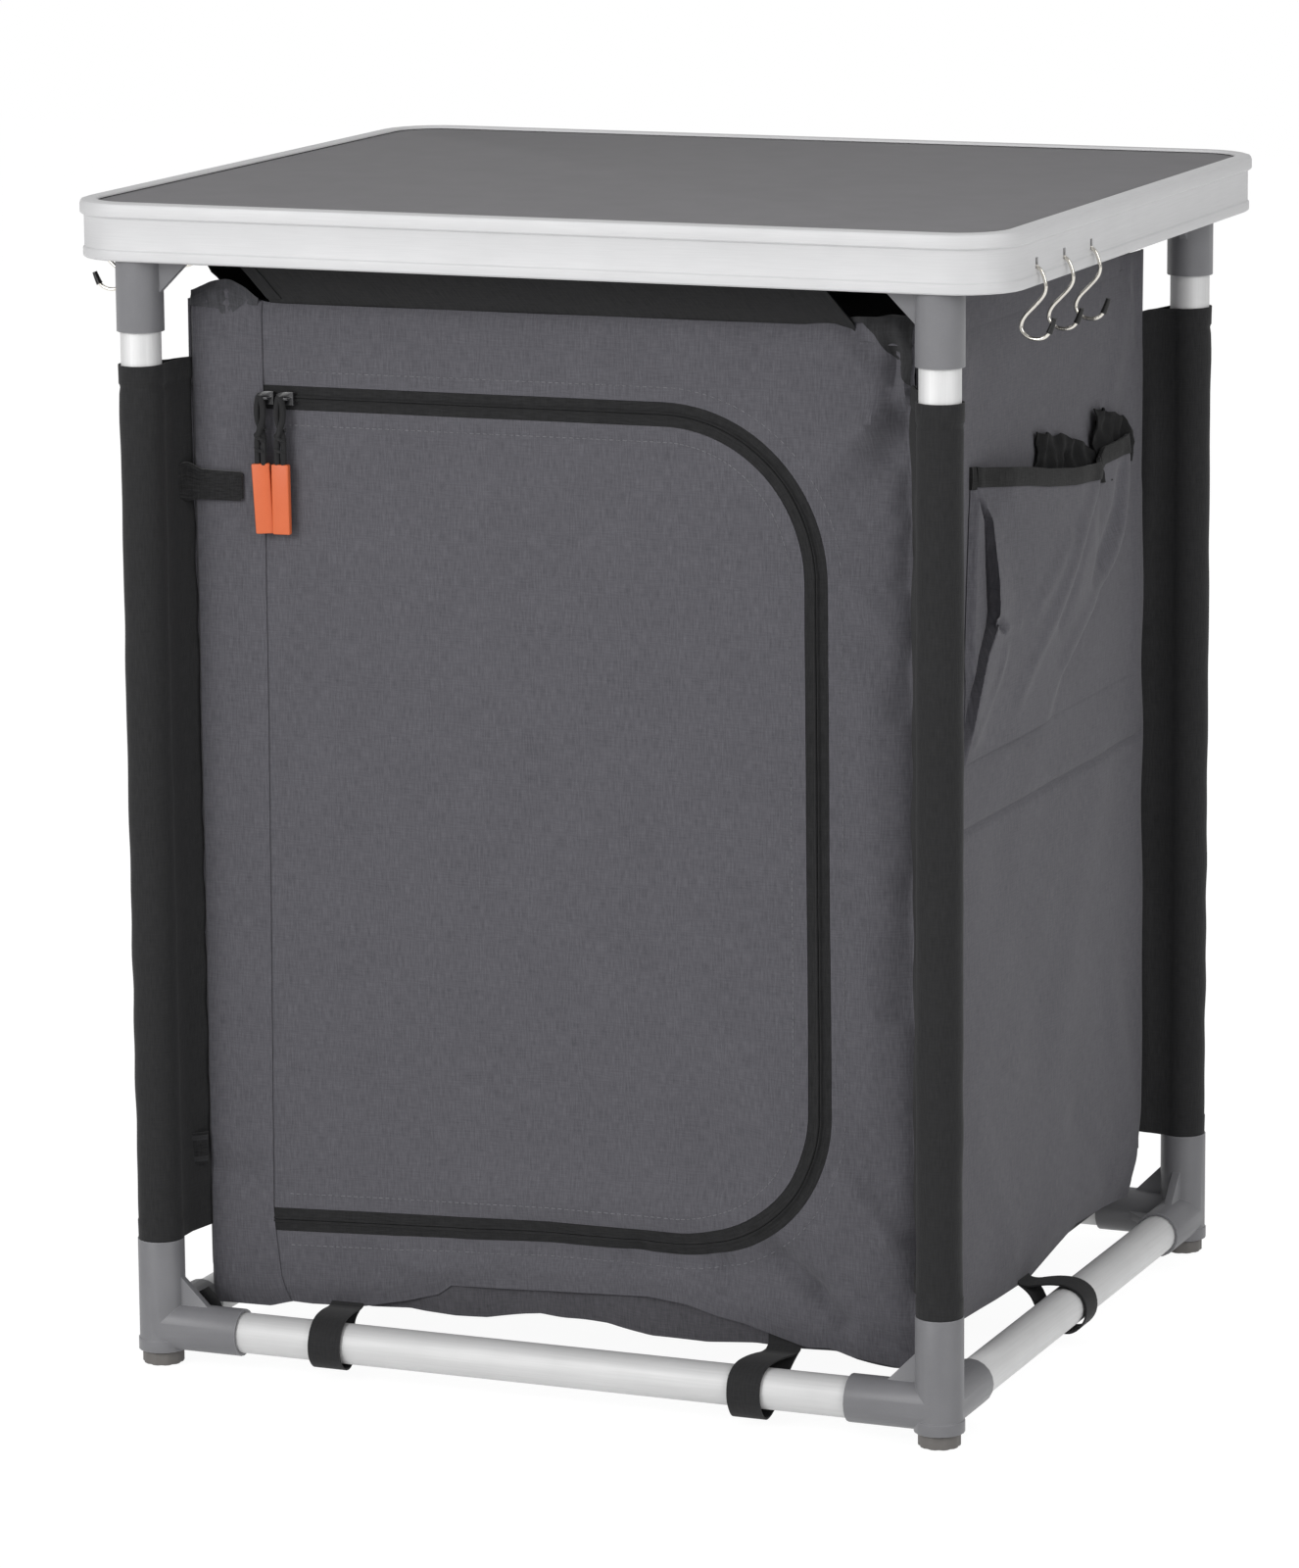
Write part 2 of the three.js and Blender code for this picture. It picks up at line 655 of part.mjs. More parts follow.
function stripAlong(points, thickness) {
  const half = thickness / 2;
  const side = (sign) => points.map((point, i) => {
    const before = points[Math.max(i - 1, 0)];
    const after = points[Math.min(i + 1, points.length - 1)];
    const run = new THREE.Vector2(after[0] - before[0], after[1] - before[1]).normalize();
    return [point[0] - sign * half * run.y, point[1] + sign * half * run.x];
  });
  return [...side(1), ...side(-1).reverse()];
}

function railLoop(tailPoints, length, axis) {
  const ring = toSolid(pipeAlong(loopOuter, loopInner, length, axis, [0, 0, 0]));
  const outline = stripAlong(tailPoints, loopWall);
  const strip = axis === 'x'
    ? plateAlongX(outline, -length / 2, length)
    : plateAlongY(outline, -length / 2, length);
  const bore = roundBar(loopInner, length + 2 * cutOverrun, axis,
    axis === 'x' ? [-length / 2 - cutOverrun, 0, 0] : [0, -length / 2 - cutOverrun, 0]);
  return ring.add(toSolid(strip).subtract(toSolid(bore)));
}

// Flaps from the top of the front and back panels up behind the top rails and over them
const midLoop = (loopInner + loopOuter) / 2;
const flapLeft = -cabinetX + flapLeftInset;
const flapRight = cabinetX - flapRightInset;
const flapLength = flapRight - flapLeft;
function addFlap(end, signY, panelY) {
  const faceY = signY * (panelY + signY * (fitGap + loopWall / 2) - signY * legY);
  const tail = [
    [faceY, cabinetTop - flapOverlap - highRailZ],
    [faceY, cabinetTop + flapKnee - highRailZ],
    [-midLoop, -midLoop / 3],
    [-midLoop, 0],
  ].map(([inward, z]) => [signY * inward, z]);
  const flap = addPiece(`flap_${end}`, toGeometry(railLoop(tail, flapLength, 'x')), blackCloth);
  flap.position.set((flapLeft + flapRight) / 2, signY * legY, highRailZ);
}
addFlap('front', -1, cabinetFrontY);
addFlap('back', 1, cabinetBackY);

// Side, back, top and floor of the cabinet
const sideSpan = cabinetDepth - 2 * clothThickness - 2 * fitGap;
const sideInset = cabinetSideInset + clothThickness / 2;
const sideLoopLength = 2 * (legY - sideLoopInset);

const sideColumns = 8;
const sideRows = 9;

function sidePanel(signX) {
  const grown = (u, v) => sideSwell(cabinetMidY + u * signX, v + cabinetMidZ);
  const sheet = toSolid(clothSlab(sideSpan, cabinetHeight, clothThickness, sideColumns, sideRows, grown));
  const turned = new THREE.Matrix4().makeRotationZ(signX * quarterTurn)
    .multiply(new THREE.Matrix4().makeRotationX(quarterTurn));
  const upright = toGeometry(sheet).applyMatrix4(turned);
  upright.translate(signX * (cabinetX - clothThickness / 2), cabinetMidY, cabinetMidZ);
  const tail = [
    [-sideInset, cabinetTop - clothThickness - highRailZ],
    [-sideInset, cabinetTop + flapKnee - highRailZ],
    [-midLoop, -midLoop / 3],
    [-midLoop, 0],
  ].map(([inward, z]) => [signX * inward, z]);
  const loop = toGeometry(railLoop(tail, sideLoopLength, 'y')).translate(signX * legX, 0, highRailZ);
  return toSolid(upright).add(toSolid(loop));
}

for (const [side, signX] of sides) {
  addPiece(`side_panel_${side}`, toGeometry(sidePanel(signX)), greyCloth);
}

const backColumns = 6;
const backRows = 7;
const backSheet = clothSlab(cabinetLength, cabinetHeight, clothThickness, backColumns, backRows,
  (u, v) => backSwell(u, v + cabinetMidZ));
const backPanel = addPiece('back_panel', toGeometry(toSolid(backSheet)), greyCloth);
backPanel.position.set(0, cabinetBackY - clothThickness / 2, cabinetMidZ);
backPanel.rotation.set(quarterTurn, 0, Math.PI, 'ZXY');

const boardX = cabinetLength - 2 * clothThickness - 2 * fitGap;
const boardY = cabinetDepth - 2 * clothThickness - 2 * fitGap;
function addBoard(name, bottom, thickness, material) {
  const board = new THREE.BoxGeometry(boardX, boardY, thickness);
  addPiece(name, board, material).position.set(0, cabinetMidY, bottom + thickness / 2);
}
addBoard('floor_board', cabinetBottom + clothThickness, boardThickness, blackCloth);
addBoard('shelf_board', shelfLevel, boardThickness, blackCloth);
addBoard('top_panel', cabinetTop - flapOverlap, clothThickness, greyCloth);

// A sleeve round each leg with a wing to the cabinet's nearest corner
const sleeveInner = tubeRadius + socketGap;
const sleeveOuter = sleeveInner + sleeveWall;
const sleeveBottom = lowRailZ + cornerReach + fitGap;
const sleeveTop = tableHeight - sleeveTopDrop;
for (const [end, signY] of ends) {
  for (const [side, signX] of sides) {
    const panelY = signY < 0 ? cabinetFrontY : cabinetBackY;
    const toCorner = new THREE.Vector2(signX * (cabinetX - legX), panelY - signY * legY);
    const reach = toCorner.length() - fitGap - wingThickness / 2;
    const wing = plateAlongY([
      [sleeveInner, sleeveBottom], [reach, sleeveBottom + wingBottomRise],
      [reach, sleeveTop + wingRise], [sleeveInner, sleeveTop],
    ], -wingThickness / 2, wingThickness).rotateZ(toCorner.angle());
    const tube = pipe(sleeveOuter, sleeveInner, sleeveBottom, sleeveTop).rotateX(quarterTurn);
    const bore = roundBar(sleeveInner, tableHeight, 'z', [0, 0, 0]);
    const solid = toSolid(tube).add(toSolid(wing).subtract(toSolid(bore)));
    const sleeve = addPiece(`sleeve_${end}_${side}`, toGeometry(solid), blackCloth);
    sleeve.position.set(signX * legX, signY * legY, 0);
  }
}

// Straps from the cabinet's hem round the bottom rails
const strapHemZ = cabinetBottom - fitGap - loopWall / 2 - lowRailZ;
function strapTail(sign, hemDistance) {
  const startZ = midLoop + loopWall / 4;
  return [[0, startZ], [hemDistance / 2, (startZ + strapHemZ) / 2], [hemDistance, strapHemZ]]
    .map(([inward, z]) => [-sign * inward, z]);
}
for (const [end, signY] of ends) {
  const inset = signY < 0 ? cabinetFrontInset : cabinetBackInset;
  const tail = strapTail(signY, inset + clothThickness / 2);
  for (const [side, signX] of sides) {
    const strap = addPiece(`strap_${end}_${side}`, toGeometry(railLoop(tail, strapWidth, 'x')), blackCloth);
    strap.position.set(signX * (cabinetX - frontStrapInset), signY * legY, lowRailZ);
  }
}
for (const [side, signX] of sides) {
  const tail = strapTail(signX, sideInset);
  const strap = addPiece(`strap_${side}`, toGeometry(railLoop(tail, strapWidth, 'y')), blackCloth);
  strap.position.set(signX * legX, 0, lowRailZ);
}

// The organiser on the right side: two pouches, open above, sewn to the panel at their edges
const pouchColumns = 6;
const pouchRows = 5;

function pouch(front, back, inwards) {
  const above = inwards > 0 ? cutOverrun : 0;
  const width = back - front - 2 * inwards;
  const height = organiserTop + above - organiserBottom - inwards;
  const box = new THREE.BoxGeometry(width, height, organiserRoot, pouchColumns, pouchRows, 1);
  const place = box.attributes.position;
  const midZ = organiserBottom + inwards + height / 2;
  for (let i = 0; i < place.count; i += 1) {
    const y = place.getX(i) + (front + back) / 2;
    const z = place.getY(i) + midZ;
    const across = Math.sqrt(Math.max(Math.cos((Math.PI * place.getX(i)) / width), 0));
    const stand = organiserSwell * across * smooth(organiserBottom, organiserTop, z);
    const outwards = place.getZ(i) > 0 ? stand + organiserRoot - inwards : -above;
    place.setXYZ(i, outwards + sideSwell(y, z), y, z);
  }
  return toSolid(box);
}
const pouchRanges = [[organiserFront, organiserSplit], [organiserSplit, organiserBack]];
let organiser = pouch(...pouchRanges[0], 0).add(pouch(...pouchRanges[1], 0));
for (const range of pouchRanges) organiser = organiser.subtract(pouch(...range, clothThickness));
addPiece('organiser', toGeometry(organiser), greyCloth).position.set(cabinetX + fitGap, 0, 0);

export default part;
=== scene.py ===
# %% [markdown]
# # Dressing a camping cupboard
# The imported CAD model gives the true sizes, the places and the joints of a small camping
# cupboard: an aluminium frame, a tabletop in a metal rim, and a zipped cloth cabinet that
# hangs inside the frame. In this lesson every part of it gets the surface of the real one.
# Rigid parts start as merged copies of the CAD parts or as primitives shaped in edit mode.
# Cloth is cut flat, the way a tailor cuts it, and then hung and creased by moving its points.

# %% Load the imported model
import math

import bpy
import numpy as np
from mathutils import Matrix, Vector
from mathutils.geometry import delaunay_2d_cdt


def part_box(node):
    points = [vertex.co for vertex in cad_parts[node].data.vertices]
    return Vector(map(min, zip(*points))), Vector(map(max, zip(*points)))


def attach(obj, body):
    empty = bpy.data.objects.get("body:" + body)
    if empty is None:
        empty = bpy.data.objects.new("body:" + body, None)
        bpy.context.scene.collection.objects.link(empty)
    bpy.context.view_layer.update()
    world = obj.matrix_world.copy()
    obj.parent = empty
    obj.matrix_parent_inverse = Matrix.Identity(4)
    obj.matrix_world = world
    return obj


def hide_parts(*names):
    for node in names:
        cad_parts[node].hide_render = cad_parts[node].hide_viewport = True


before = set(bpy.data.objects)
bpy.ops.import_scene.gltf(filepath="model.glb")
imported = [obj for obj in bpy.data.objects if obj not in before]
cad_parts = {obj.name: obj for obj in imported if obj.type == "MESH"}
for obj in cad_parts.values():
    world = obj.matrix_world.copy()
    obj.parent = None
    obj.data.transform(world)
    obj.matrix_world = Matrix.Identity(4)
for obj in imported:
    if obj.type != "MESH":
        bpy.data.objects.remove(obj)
bpy.ops.object.select_all(action="DESELECT")
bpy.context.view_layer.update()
MM = 0.001
print("nodes in the model:", len(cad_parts))

# %% [markdown]
# ## Camera
# The picture was taken from the right, a little above the top, with a long lens. The place and
# the angles were solved from about thirty measured points of the frame, so they are written
# down as numbers: yaw turns the camera left, pitch looks down, and roll is the slight lean.

# %% Set the camera
camera_place = Vector((1530.03, -3800.74, 1145.29)) * MM
yaw, pitch, roll = (math.radians(angle) for angle in (-22.2299, 11.1527, -0.4546))
forward = Vector((math.sin(yaw) * math.cos(pitch), math.cos(yaw) * math.cos(pitch), -math.sin(pitch)))
level = Vector((math.cos(yaw), -math.sin(yaw), 0))
upright = level.cross(forward)
right = level * math.cos(roll) + upright * math.sin(roll)
up = upright * math.cos(roll) - level * math.sin(roll)
camera_data = bpy.data.cameras.new("camera")
camera_data.lens = 152.715
camera_data.sensor_width = 36
camera = bpy.data.objects.new("camera", camera_data)
turned = Matrix((right, up, -forward)).transposed().to_4x4()
camera.matrix_world = Matrix.Translation(camera_place) @ turned
bpy.context.scene.collection.objects.link(camera)
bpy.context.scene.camera = camera
print("distance of the camera in m:", round(camera_place.length, 2))

# %% [markdown]
# ## White surroundings
# A product picture has a white ground and very soft light. The world is white where the camera
# looks at it, and dimmer as a lamp, so that the object keeps its shading and metal stays calm.
# Light Path tells which ray is asking, and the larger of two answers mixes the two strengths.

# %% World
def new_material(name):
    material = bpy.data.materials.new(name)
    material.use_nodes = True
    return material, material.node_tree.nodes, material.node_tree.links


def asked_by(nodes, links, kind):
    """1 for a ray from the camera or of the named kind, and 0 for the others."""
    rays = nodes.new("ShaderNodeLightPath")
    either = nodes.new("ShaderNodeMath")
    either.operation = "MAXIMUM"
    links.new(rays.outputs["Is Camera Ray"], either.inputs[0])
    links.new(rays.outputs[kind], either.inputs[1])
    return either.outputs[0]


AMBIENT = 0.42
world = bpy.data.worlds.new("studio")
bpy.context.scene.world = world
world.use_nodes = True
nodes, links = world.node_tree.nodes, world.node_tree.links
background = nodes["Background"]
strength = nodes.new("ShaderNodeMix")
strength.inputs["A"].default_value = AMBIENT
strength.inputs["B"].default_value = 1
links.new(asked_by(nodes, links, "Is Transmission Ray"), strength.inputs["Factor"])
links.new(strength.outputs["Result"], background.inputs["Strength"])
background.inputs["Color"].default_value = (1, 1, 1, 1)
print("share of the white that lights the object:", AMBIENT)

# %% [markdown]
# ## Floor
# The floor has to be as white as the world and still show where the cupboard stands. A pure
# white paper would turn grey in the dim light, and a glowing one would lose the shadow. So the
# camera sees mostly its own white, mixed with a share of the lit paper that has the shadow.

# %% Paper floor
bpy.ops.mesh.primitive_plane_add(size=14, location=(0, 0, -0.0005))
floor = bpy.context.object
floor.name = "floor"
material, nodes, links = new_material("white_floor")
paper = nodes["Principled BSDF"]
paper.inputs["Base Color"].default_value = (0.92, 0.92, 0.92, 1)
paper.inputs["Roughness"].default_value = 1
glow = nodes.new("ShaderNodeEmission")
glow.inputs["Strength"].default_value = 1.1
share = nodes.new("ShaderNodeMath")
share.operation = "MULTIPLY"
share.inputs[1].default_value = 0.86
mix = nodes.new("ShaderNodeMixShader")
links.new(asked_by(nodes, links, "Is Glossy Ray"), share.inputs[0])
links.new(share.outputs[0], mix.inputs[0])
links.new(paper.outputs[0], mix.inputs[1])
links.new(glow.outputs[0], mix.inputs[2])
links.new(mix.outputs[0], nodes["Material Output"].inputs["Surface"])
floor.data.materials.append(material)
print("floor in m:", tuple(round(side, 1) for side in floor.dimensions))

# %% [markdown]
# ## Lamps
# A wide lamp stands in front, a little to the left, so that folds get a bright and a dark flank
# without the leg's shadow falling on the cloth beside it. A weaker one lights the right side,
# and a third one the top. Disks give round, soft highlights on the tubes.

# %% Three soft lamps
def add_lamp(name, place, size, power):
    lamp = bpy.data.lights.new(name, "AREA")
    lamp.shape = "DISK"
    lamp.size = size
    lamp.energy = power
    holder = bpy.data.objects.new(name, lamp)
    aim = (Vector((0, 0, 0.36)) - Vector(place)).to_track_quat("-Z", "Y")
    holder.matrix_world = Matrix.Translation(place) @ aim.to_matrix().to_4x4()
    bpy.context.scene.collection.objects.link(holder)
    print(name, "watts:", power)


add_lamp("key_lamp", (-1.5, -3.55, 1.95), 2.0, 77)
add_lamp("fill_lamp", (2.9, -1.4, 1.9), 2.2, 35)
add_lamp("top_lamp", (0.3, 0.4, 4.0), 2.6, 16)
bpy.context.scene.view_settings.view_transform = "Standard"

# %% [markdown]
# ## Finishes
# Effects that several materials share are node groups with named inputs: a weave for cloth, a
# drawn streak for aluminium, a moulded grain for plastic and a mask for edges that get a painted
# highlight. Image textures would tie them to one unwrapping. Noise that is stretched differently
# along each direction gives threads and streaks at any size.

# %% Helpers for node groups
def colour(red, green, blue):
    """The scene colour of an 8-bit one."""
    def straight(value):
        value = value / 255
        return value / 12.92 if value < 0.04045 else ((value + 0.055) / 1.055) ** 2.4
    return (straight(red), straight(green), straight(blue), 1)


def new_group(name, inputs, outputs):
    group = bpy.data.node_groups.new(name, "ShaderNodeTree")
    for label, kind, value in inputs:
        socket = group.interface.new_socket(name=label, in_out="INPUT", socket_type=kind)
        if value is not None:
            socket.default_value = value
    for label in outputs:
        group.interface.new_socket(name=label, in_out="OUTPUT", socket_type="NodeSocketFloat")
    return group, group.nodes.new("NodeGroupInput"), group.nodes.new("NodeGroupOutput")


def noise(group, source, factors, detail=2.0):
    """Noise over the source vector times one factor for each direction."""
    stretch = group.nodes.new("ShaderNodeVectorMath")
    stretch.operation = "MULTIPLY"
    stretch.inputs[1].default_value = factors
    group.links.new(source, stretch.inputs[0])
    node = group.nodes.new("ShaderNodeTexNoise")
    node.inputs["Scale"].default_value = 1
    node.inputs["Detail"].default_value = detail
    group.links.new(stretch.outputs[0], node.inputs["Vector"])
    return node.outputs["Fac"]


def sums(group, operation, first, second):
    node = group.nodes.new("ShaderNodeMath")
    node.operation = operation
    for socket, value in zip(node.inputs, (first, second)):
        if isinstance(value, (int, float)):
            socket.default_value = value
        else:
            group.links.new(value, socket)
    return node.outputs[0]


print("plain grey of 97 in the scene:", round(colour(97, 97, 97)[0], 3))

# %% [markdown]
# ## Weave
# The cloth is a plain weave of a dark and a paler yarn, so from near by it is flecked, and from
# far off it is an even grey with faint clouds. The weave reads the UV map in metres, which every
# cloth piece gets from its flat cut, so that threads run along the cut and not across the room.

# %% Weave group
weave, weave_in, weave_out = new_group(
    "weave", [("Cut", "NodeSocketVector", None), ("Fleck", "NodeSocketFloat", 1.0)], ("Thread", "Height"))
cut = weave_in.outputs["Cut"]
warp = noise(weave, cut, (1100, 110, 1))
weft = sums(weave, "MULTIPLY", noise(weave, cut, (110, 1100, 1)), 0.6)
fine = sums(weave, "MULTIPLY", noise(weave, cut, (2100, 2100, 1), 1.0), 0.5)
cloud = noise(weave, cut, (28, 22, 1), 3.0)
flecks = sums(weave, "ADD", sums(weave, "ADD", warp, weft), fine)
centred = sums(weave, "SUBTRACT", flecks, 1.05)
flecked = sums(weave, "MULTIPLY", sums(weave, "MULTIPLY", centred, 1.5), weave_in.outputs["Fleck"])
soft = sums(weave, "MULTIPLY", sums(weave, "SUBTRACT", cloud, 0.5), 0.16)
thread = sums(weave, "ADD", sums(weave, "ADD", flecked, soft), 0.5)
weave.links.new(thread, weave_out.inputs["Thread"])
weave.links.new(flecks, weave_out.inputs["Height"])
print("nodes in the weave:", len(weave.nodes))

# %% [markdown]
# ## Drawn metal, moulded plastic and painted edge highlights
# Aluminium tube is pulled through a die, which leaves fine streaks along it. Moulded plastic has
# a pebbled skin with slow changes of tone. On both, the edges get a painted highlight, paler where
# light would catch them: a Bevel node compares a rounded normal with the true one, and where the
# two disagree there is an edge.

# %% Metal, plastic and edge groups
drawn, drawn_in, drawn_out = new_group(
    "drawn_metal",
    [("Place", "NodeSocketVector", None), ("Along", "NodeSocketVector", (1, 1, 1))], ("Streak", "Height"))
stretch = drawn.nodes.new("ShaderNodeVectorMath")
stretch.operation = "MULTIPLY"
drawn.links.new(drawn_in.outputs["Place"], stretch.inputs[0])
drawn.links.new(drawn_in.outputs["Along"], stretch.inputs[1])
streaks = noise(drawn, stretch.outputs[0], (900, 900, 900), 3.0)
patches = sums(drawn, "MULTIPLY", noise(drawn, drawn_in.outputs["Place"], (30, 30, 30), 2.0), 0.4)
streaked = sums(drawn, "ADD", sums(drawn, "MULTIPLY", streaks, 0.6), patches)
drawn.links.new(streaked, drawn_out.inputs["Streak"])
drawn.links.new(streaks, drawn_out.inputs["Height"])

moulded, moulded_in, moulded_out = new_group(
    "moulded_grain", [("Place", "NodeSocketVector", None)], ("Shade", "Height"))
pebble = noise(moulded, moulded_in.outputs["Place"], (1500, 1500, 1500), 2.0)
flow = sums(moulded, "MULTIPLY", noise(moulded, moulded_in.outputs["Place"], (45, 45, 45), 3.0), 0.65)
shade = sums(moulded, "ADD", sums(moulded, "MULTIPLY", pebble, 0.35), flow)
moulded.links.new(shade, moulded_out.inputs["Shade"])
moulded.links.new(pebble, moulded_out.inputs["Height"])

# A mask of the edges, which the materials paint paler as a highlight.
edge_highlight, edge_highlight_in, edge_highlight_out = new_group("painted_edge_highlight", [("Radius", "NodeSocketFloat", 0.0008)], ("Edge",))
rounded = edge_highlight.nodes.new("ShaderNodeBevel")
rounded.samples = 4
edge_highlight.links.new(edge_highlight_in.outputs["Radius"], rounded.inputs["Radius"])
surface = edge_highlight.nodes.new("ShaderNodeNewGeometry")
agree = edge_highlight.nodes.new("ShaderNodeVectorMath")
agree.operation = "DOT_PRODUCT"
edge_highlight.links.new(rounded.outputs[0], agree.inputs[0])
edge_highlight.links.new(surface.outputs["Normal"], agree.inputs[1])
lost = sums(edge_highlight, "SUBTRACT", 1.0, agree.outputs["Value"])
edge_highlight.links.new(sums(edge_highlight, "MINIMUM", sums(edge_highlight, "MULTIPLY", lost, 5.0), 1.0), edge_highlight_out.inputs["Edge"])
print("node groups:", [group.name for group in bpy.data.node_groups])

# %% [markdown]
# ## From groups to materials
# Each material places the groups with its own values. A dark and a light colour are mixed by
# the group's mask, and the height goes through a Bump node. Four small helpers do these steps,
# so that each material says only what is its own.

# %% Helpers for materials
def place_group(nodes, group, values=None):
    node = nodes.new("ShaderNodeGroup")
    node.node_tree = group
    for label, value in (values or {}).items():
        node.inputs[label].default_value = value
    return node


def two_tone(nodes, links, mask, dark, light, target):
    mix = nodes.new("ShaderNodeMix")
    mix.data_type = "RGBA"
    mix.inputs["A"].default_value = dark
    mix.inputs["B"].default_value = light
    links.new(mask, mix.inputs["Factor"])
    links.new(mix.outputs["Result"], target)
    return mix


def bumped(nodes, links, height, shader, distance):
    bump = nodes.new("ShaderNodeBump")
    bump.inputs["Distance"].default_value = distance
    bump.inputs["Strength"].default_value = 1.0
    links.new(height, bump.inputs["Height"])
    links.new(bump.outputs[0], shader.inputs["Normal"])


def spread(nodes, links, source, low, high, target):
    """A mask from 0 to 1 becomes a value from low to high."""
    node = nodes.new("ShaderNodeMapRange")
    node.inputs["To Min"].default_value = low
    node.inputs["To Max"].default_value = high
    links.new(source, node.inputs["Value"])
    links.new(node.outputs[0], target)


print("materials so far:", len(bpy.data.materials))

# %% [markdown]
# ## Cloth material
# The threads set the colour, the roughness and the height together. Numbers that are the same
# all over, such as sheen, stay on the shader itself. The sheen is the pale bloom that cloth
# shows at a flat angle, which plain roughness can't give.

# %% Cloth material
def cloth_material(name, dark, light, fleck=1.0, sheen=0.15, depth=0.00012, coordinates="UV", rough=0.82):
    material, nodes, links = new_material(name)
    shader = nodes["Principled BSDF"]
    where = nodes.new("ShaderNodeTexCoord")
    threads = place_group(nodes, weave, {"Fleck": fleck})
    links.new(where.outputs[coordinates], threads.inputs["Cut"])
    two_tone(nodes, links, threads.outputs["Thread"], dark, light, shader.inputs["Base Color"])
    spread(nodes, links, threads.outputs["Thread"], rough + 0.08, rough - 0.08, shader.inputs["Roughness"])
    bumped(nodes, links, threads.outputs["Height"], shader, depth)
    shader.inputs["Sheen Weight"].default_value = sheen
    shader.inputs["Sheen Roughness"].default_value = 0.5
    shader.inputs["Specular IOR Level"].default_value = 0.25
    return material


grey_cloth = cloth_material("grey_cloth", colour(62, 61, 66), colour(104, 103, 109), 0.55)
print("nodes in the grey cloth:", len(grey_cloth.node_tree.nodes))

# %% [markdown]
# ## Metal and plastic materials
# These two are built alike: a two-toned grain, edges painted paler as a highlight, a roughness
# that follows the grain, and a very shallow bump. They read Object coordinates, because a rigid
# part isn't cut flat and has no UV map, and its object sits at the origin.

# %% Metal and plastic
def paint_edge_highlight(nodes, links, mix, shader, radius, highlight_colour):
    """The mixed colour, turned to a paler colour where the surface has an edge: a painted highlight."""
    edge = place_group(nodes, edge_highlight, {"Radius": radius})
    highlighted = nodes.new("ShaderNodeMix")
    highlighted.data_type = "RGBA"
    highlighted.inputs["B"].default_value = highlight_colour
    links.new(edge.outputs["Edge"], highlighted.inputs["Factor"])
    links.new(mix.outputs["Result"], highlighted.inputs["A"])
    links.new(highlighted.outputs["Result"], shader.inputs["Base Color"])


def metal_material(name, dark, light, along, rough=0.5, metallic=0.55):
    material, nodes, links = new_material(name)
    shader = nodes["Principled BSDF"]
    where = nodes.new("ShaderNodeTexCoord")
    streak = place_group(nodes, drawn, {"Along": along})
    links.new(where.outputs["Object"], streak.inputs["Place"])
    mix = two_tone(nodes, links, streak.outputs["Streak"], dark, light, shader.inputs["Base Color"])
    # The edges are painted this pale colour as a highlight.
    paint_edge_highlight(nodes, links, mix, shader, 0.0006, colour(236, 236, 238))
    spread(nodes, links, streak.outputs["Streak"], rough + 0.1, rough - 0.06, shader.inputs["Roughness"])
    bumped(nodes, links, streak.outputs["Height"], shader, 0.00003)
    shader.inputs["Metallic"].default_value = metallic
    return material


def plastic_material(name, dark, light, rough=0.45, highlight_colour=None, depth=0.00004):
    material, nodes, links = new_material(name)
    shader = nodes["Principled BSDF"]
    where = nodes.new("ShaderNodeTexCoord")
    grain = place_group(nodes, moulded)
    links.new(where.outputs["Object"], grain.inputs["Place"])
    mix = two_tone(nodes, links, grain.outputs["Shade"], dark, light, shader.inputs["Base Color"])
    # Where given, the edges are painted a paler colour as a highlight.
    if highlight_colour:
        paint_edge_highlight(nodes, links, mix, shader, 0.0007, highlight_colour)
    spread(nodes, links, grain.outputs["Shade"], rough - 0.07, rough + 0.1, shader.inputs["Roughness"])
    bumped(nodes, links, grain.outputs["Height"], shader, depth)
    return material


print("shared by metal and plastic:", edge_highlight.name)

# %% [markdown]
# ## The cloths
# The cabinet is grey, and its inner hem is the same grey painted darker, as the shade it hangs
# in. Its flaps, sleeves and straps are black. Black cloth is never quite black in soft light, so
# each black was matched to its own piece: the fuzzy half of a hook-and-loop strap, the smooth
# binding, the zip's tape, and the black lining, painted darker still as the shade inside the
# pouches. The two top corner pieces are partly painted shade from the tabletop. Boards and
# stitches aren't cut flat, so their weave reads Object coordinates.

# %% Cloth tones
# The inner hem is the front's grey painted darker, as shade.
inner_hem_shade_cloth = cloth_material("inner_hem_shade_cloth", colour(53, 52, 56), colour(91, 90, 95), 0.6)
black_cloth = cloth_material("black_cloth", colour(28, 28, 29), colour(45, 45, 46), 0.6, 0.08)
board_cloth = cloth_material(
    "board_cloth", colour(28, 28, 29), colour(46, 46, 47), 0.6, 0.08, coordinates="Object")
# The lining is black cloth painted darker, as the shade inside the pouches.
lining_shade_cloth = cloth_material("lining_shade_cloth", colour(8, 8, 9), colour(21, 21, 22), 0.8, 0.04)
fuzzy_black = cloth_material(
    "fuzzy_black", colour(18, 18, 19), colour(40, 40, 41), 1.3, 0.2, 0.0004, rough=0.9)
binding_cloth = cloth_material("binding_cloth", colour(24, 24, 24), colour(42, 42, 42), 1.1, 0.06)
tape_cloth = cloth_material("zip_tape", colour(21, 21, 22), colour(40, 40, 41), 0.8, 0.08)
# A paler black; on the right top corner it is partly painted shade over grey cloth.
shaded_cloth = cloth_material("crumpled_black", colour(32, 32, 33), colour(54, 54, 56), 0.8, 0.1)
# A dark grey that paints the shade under the tabletop on the left top corner.
corner_shade_grey = cloth_material("painted_shade_grey", colour(52, 52, 55), colour(82, 82, 86), 0.8, 0.1)
thread_cloth = cloth_material(
    "stitch_thread", colour(98, 98, 102), colour(132, 132, 137), 1.0, coordinates="Object")
print("materials with the weave:", weave.users)
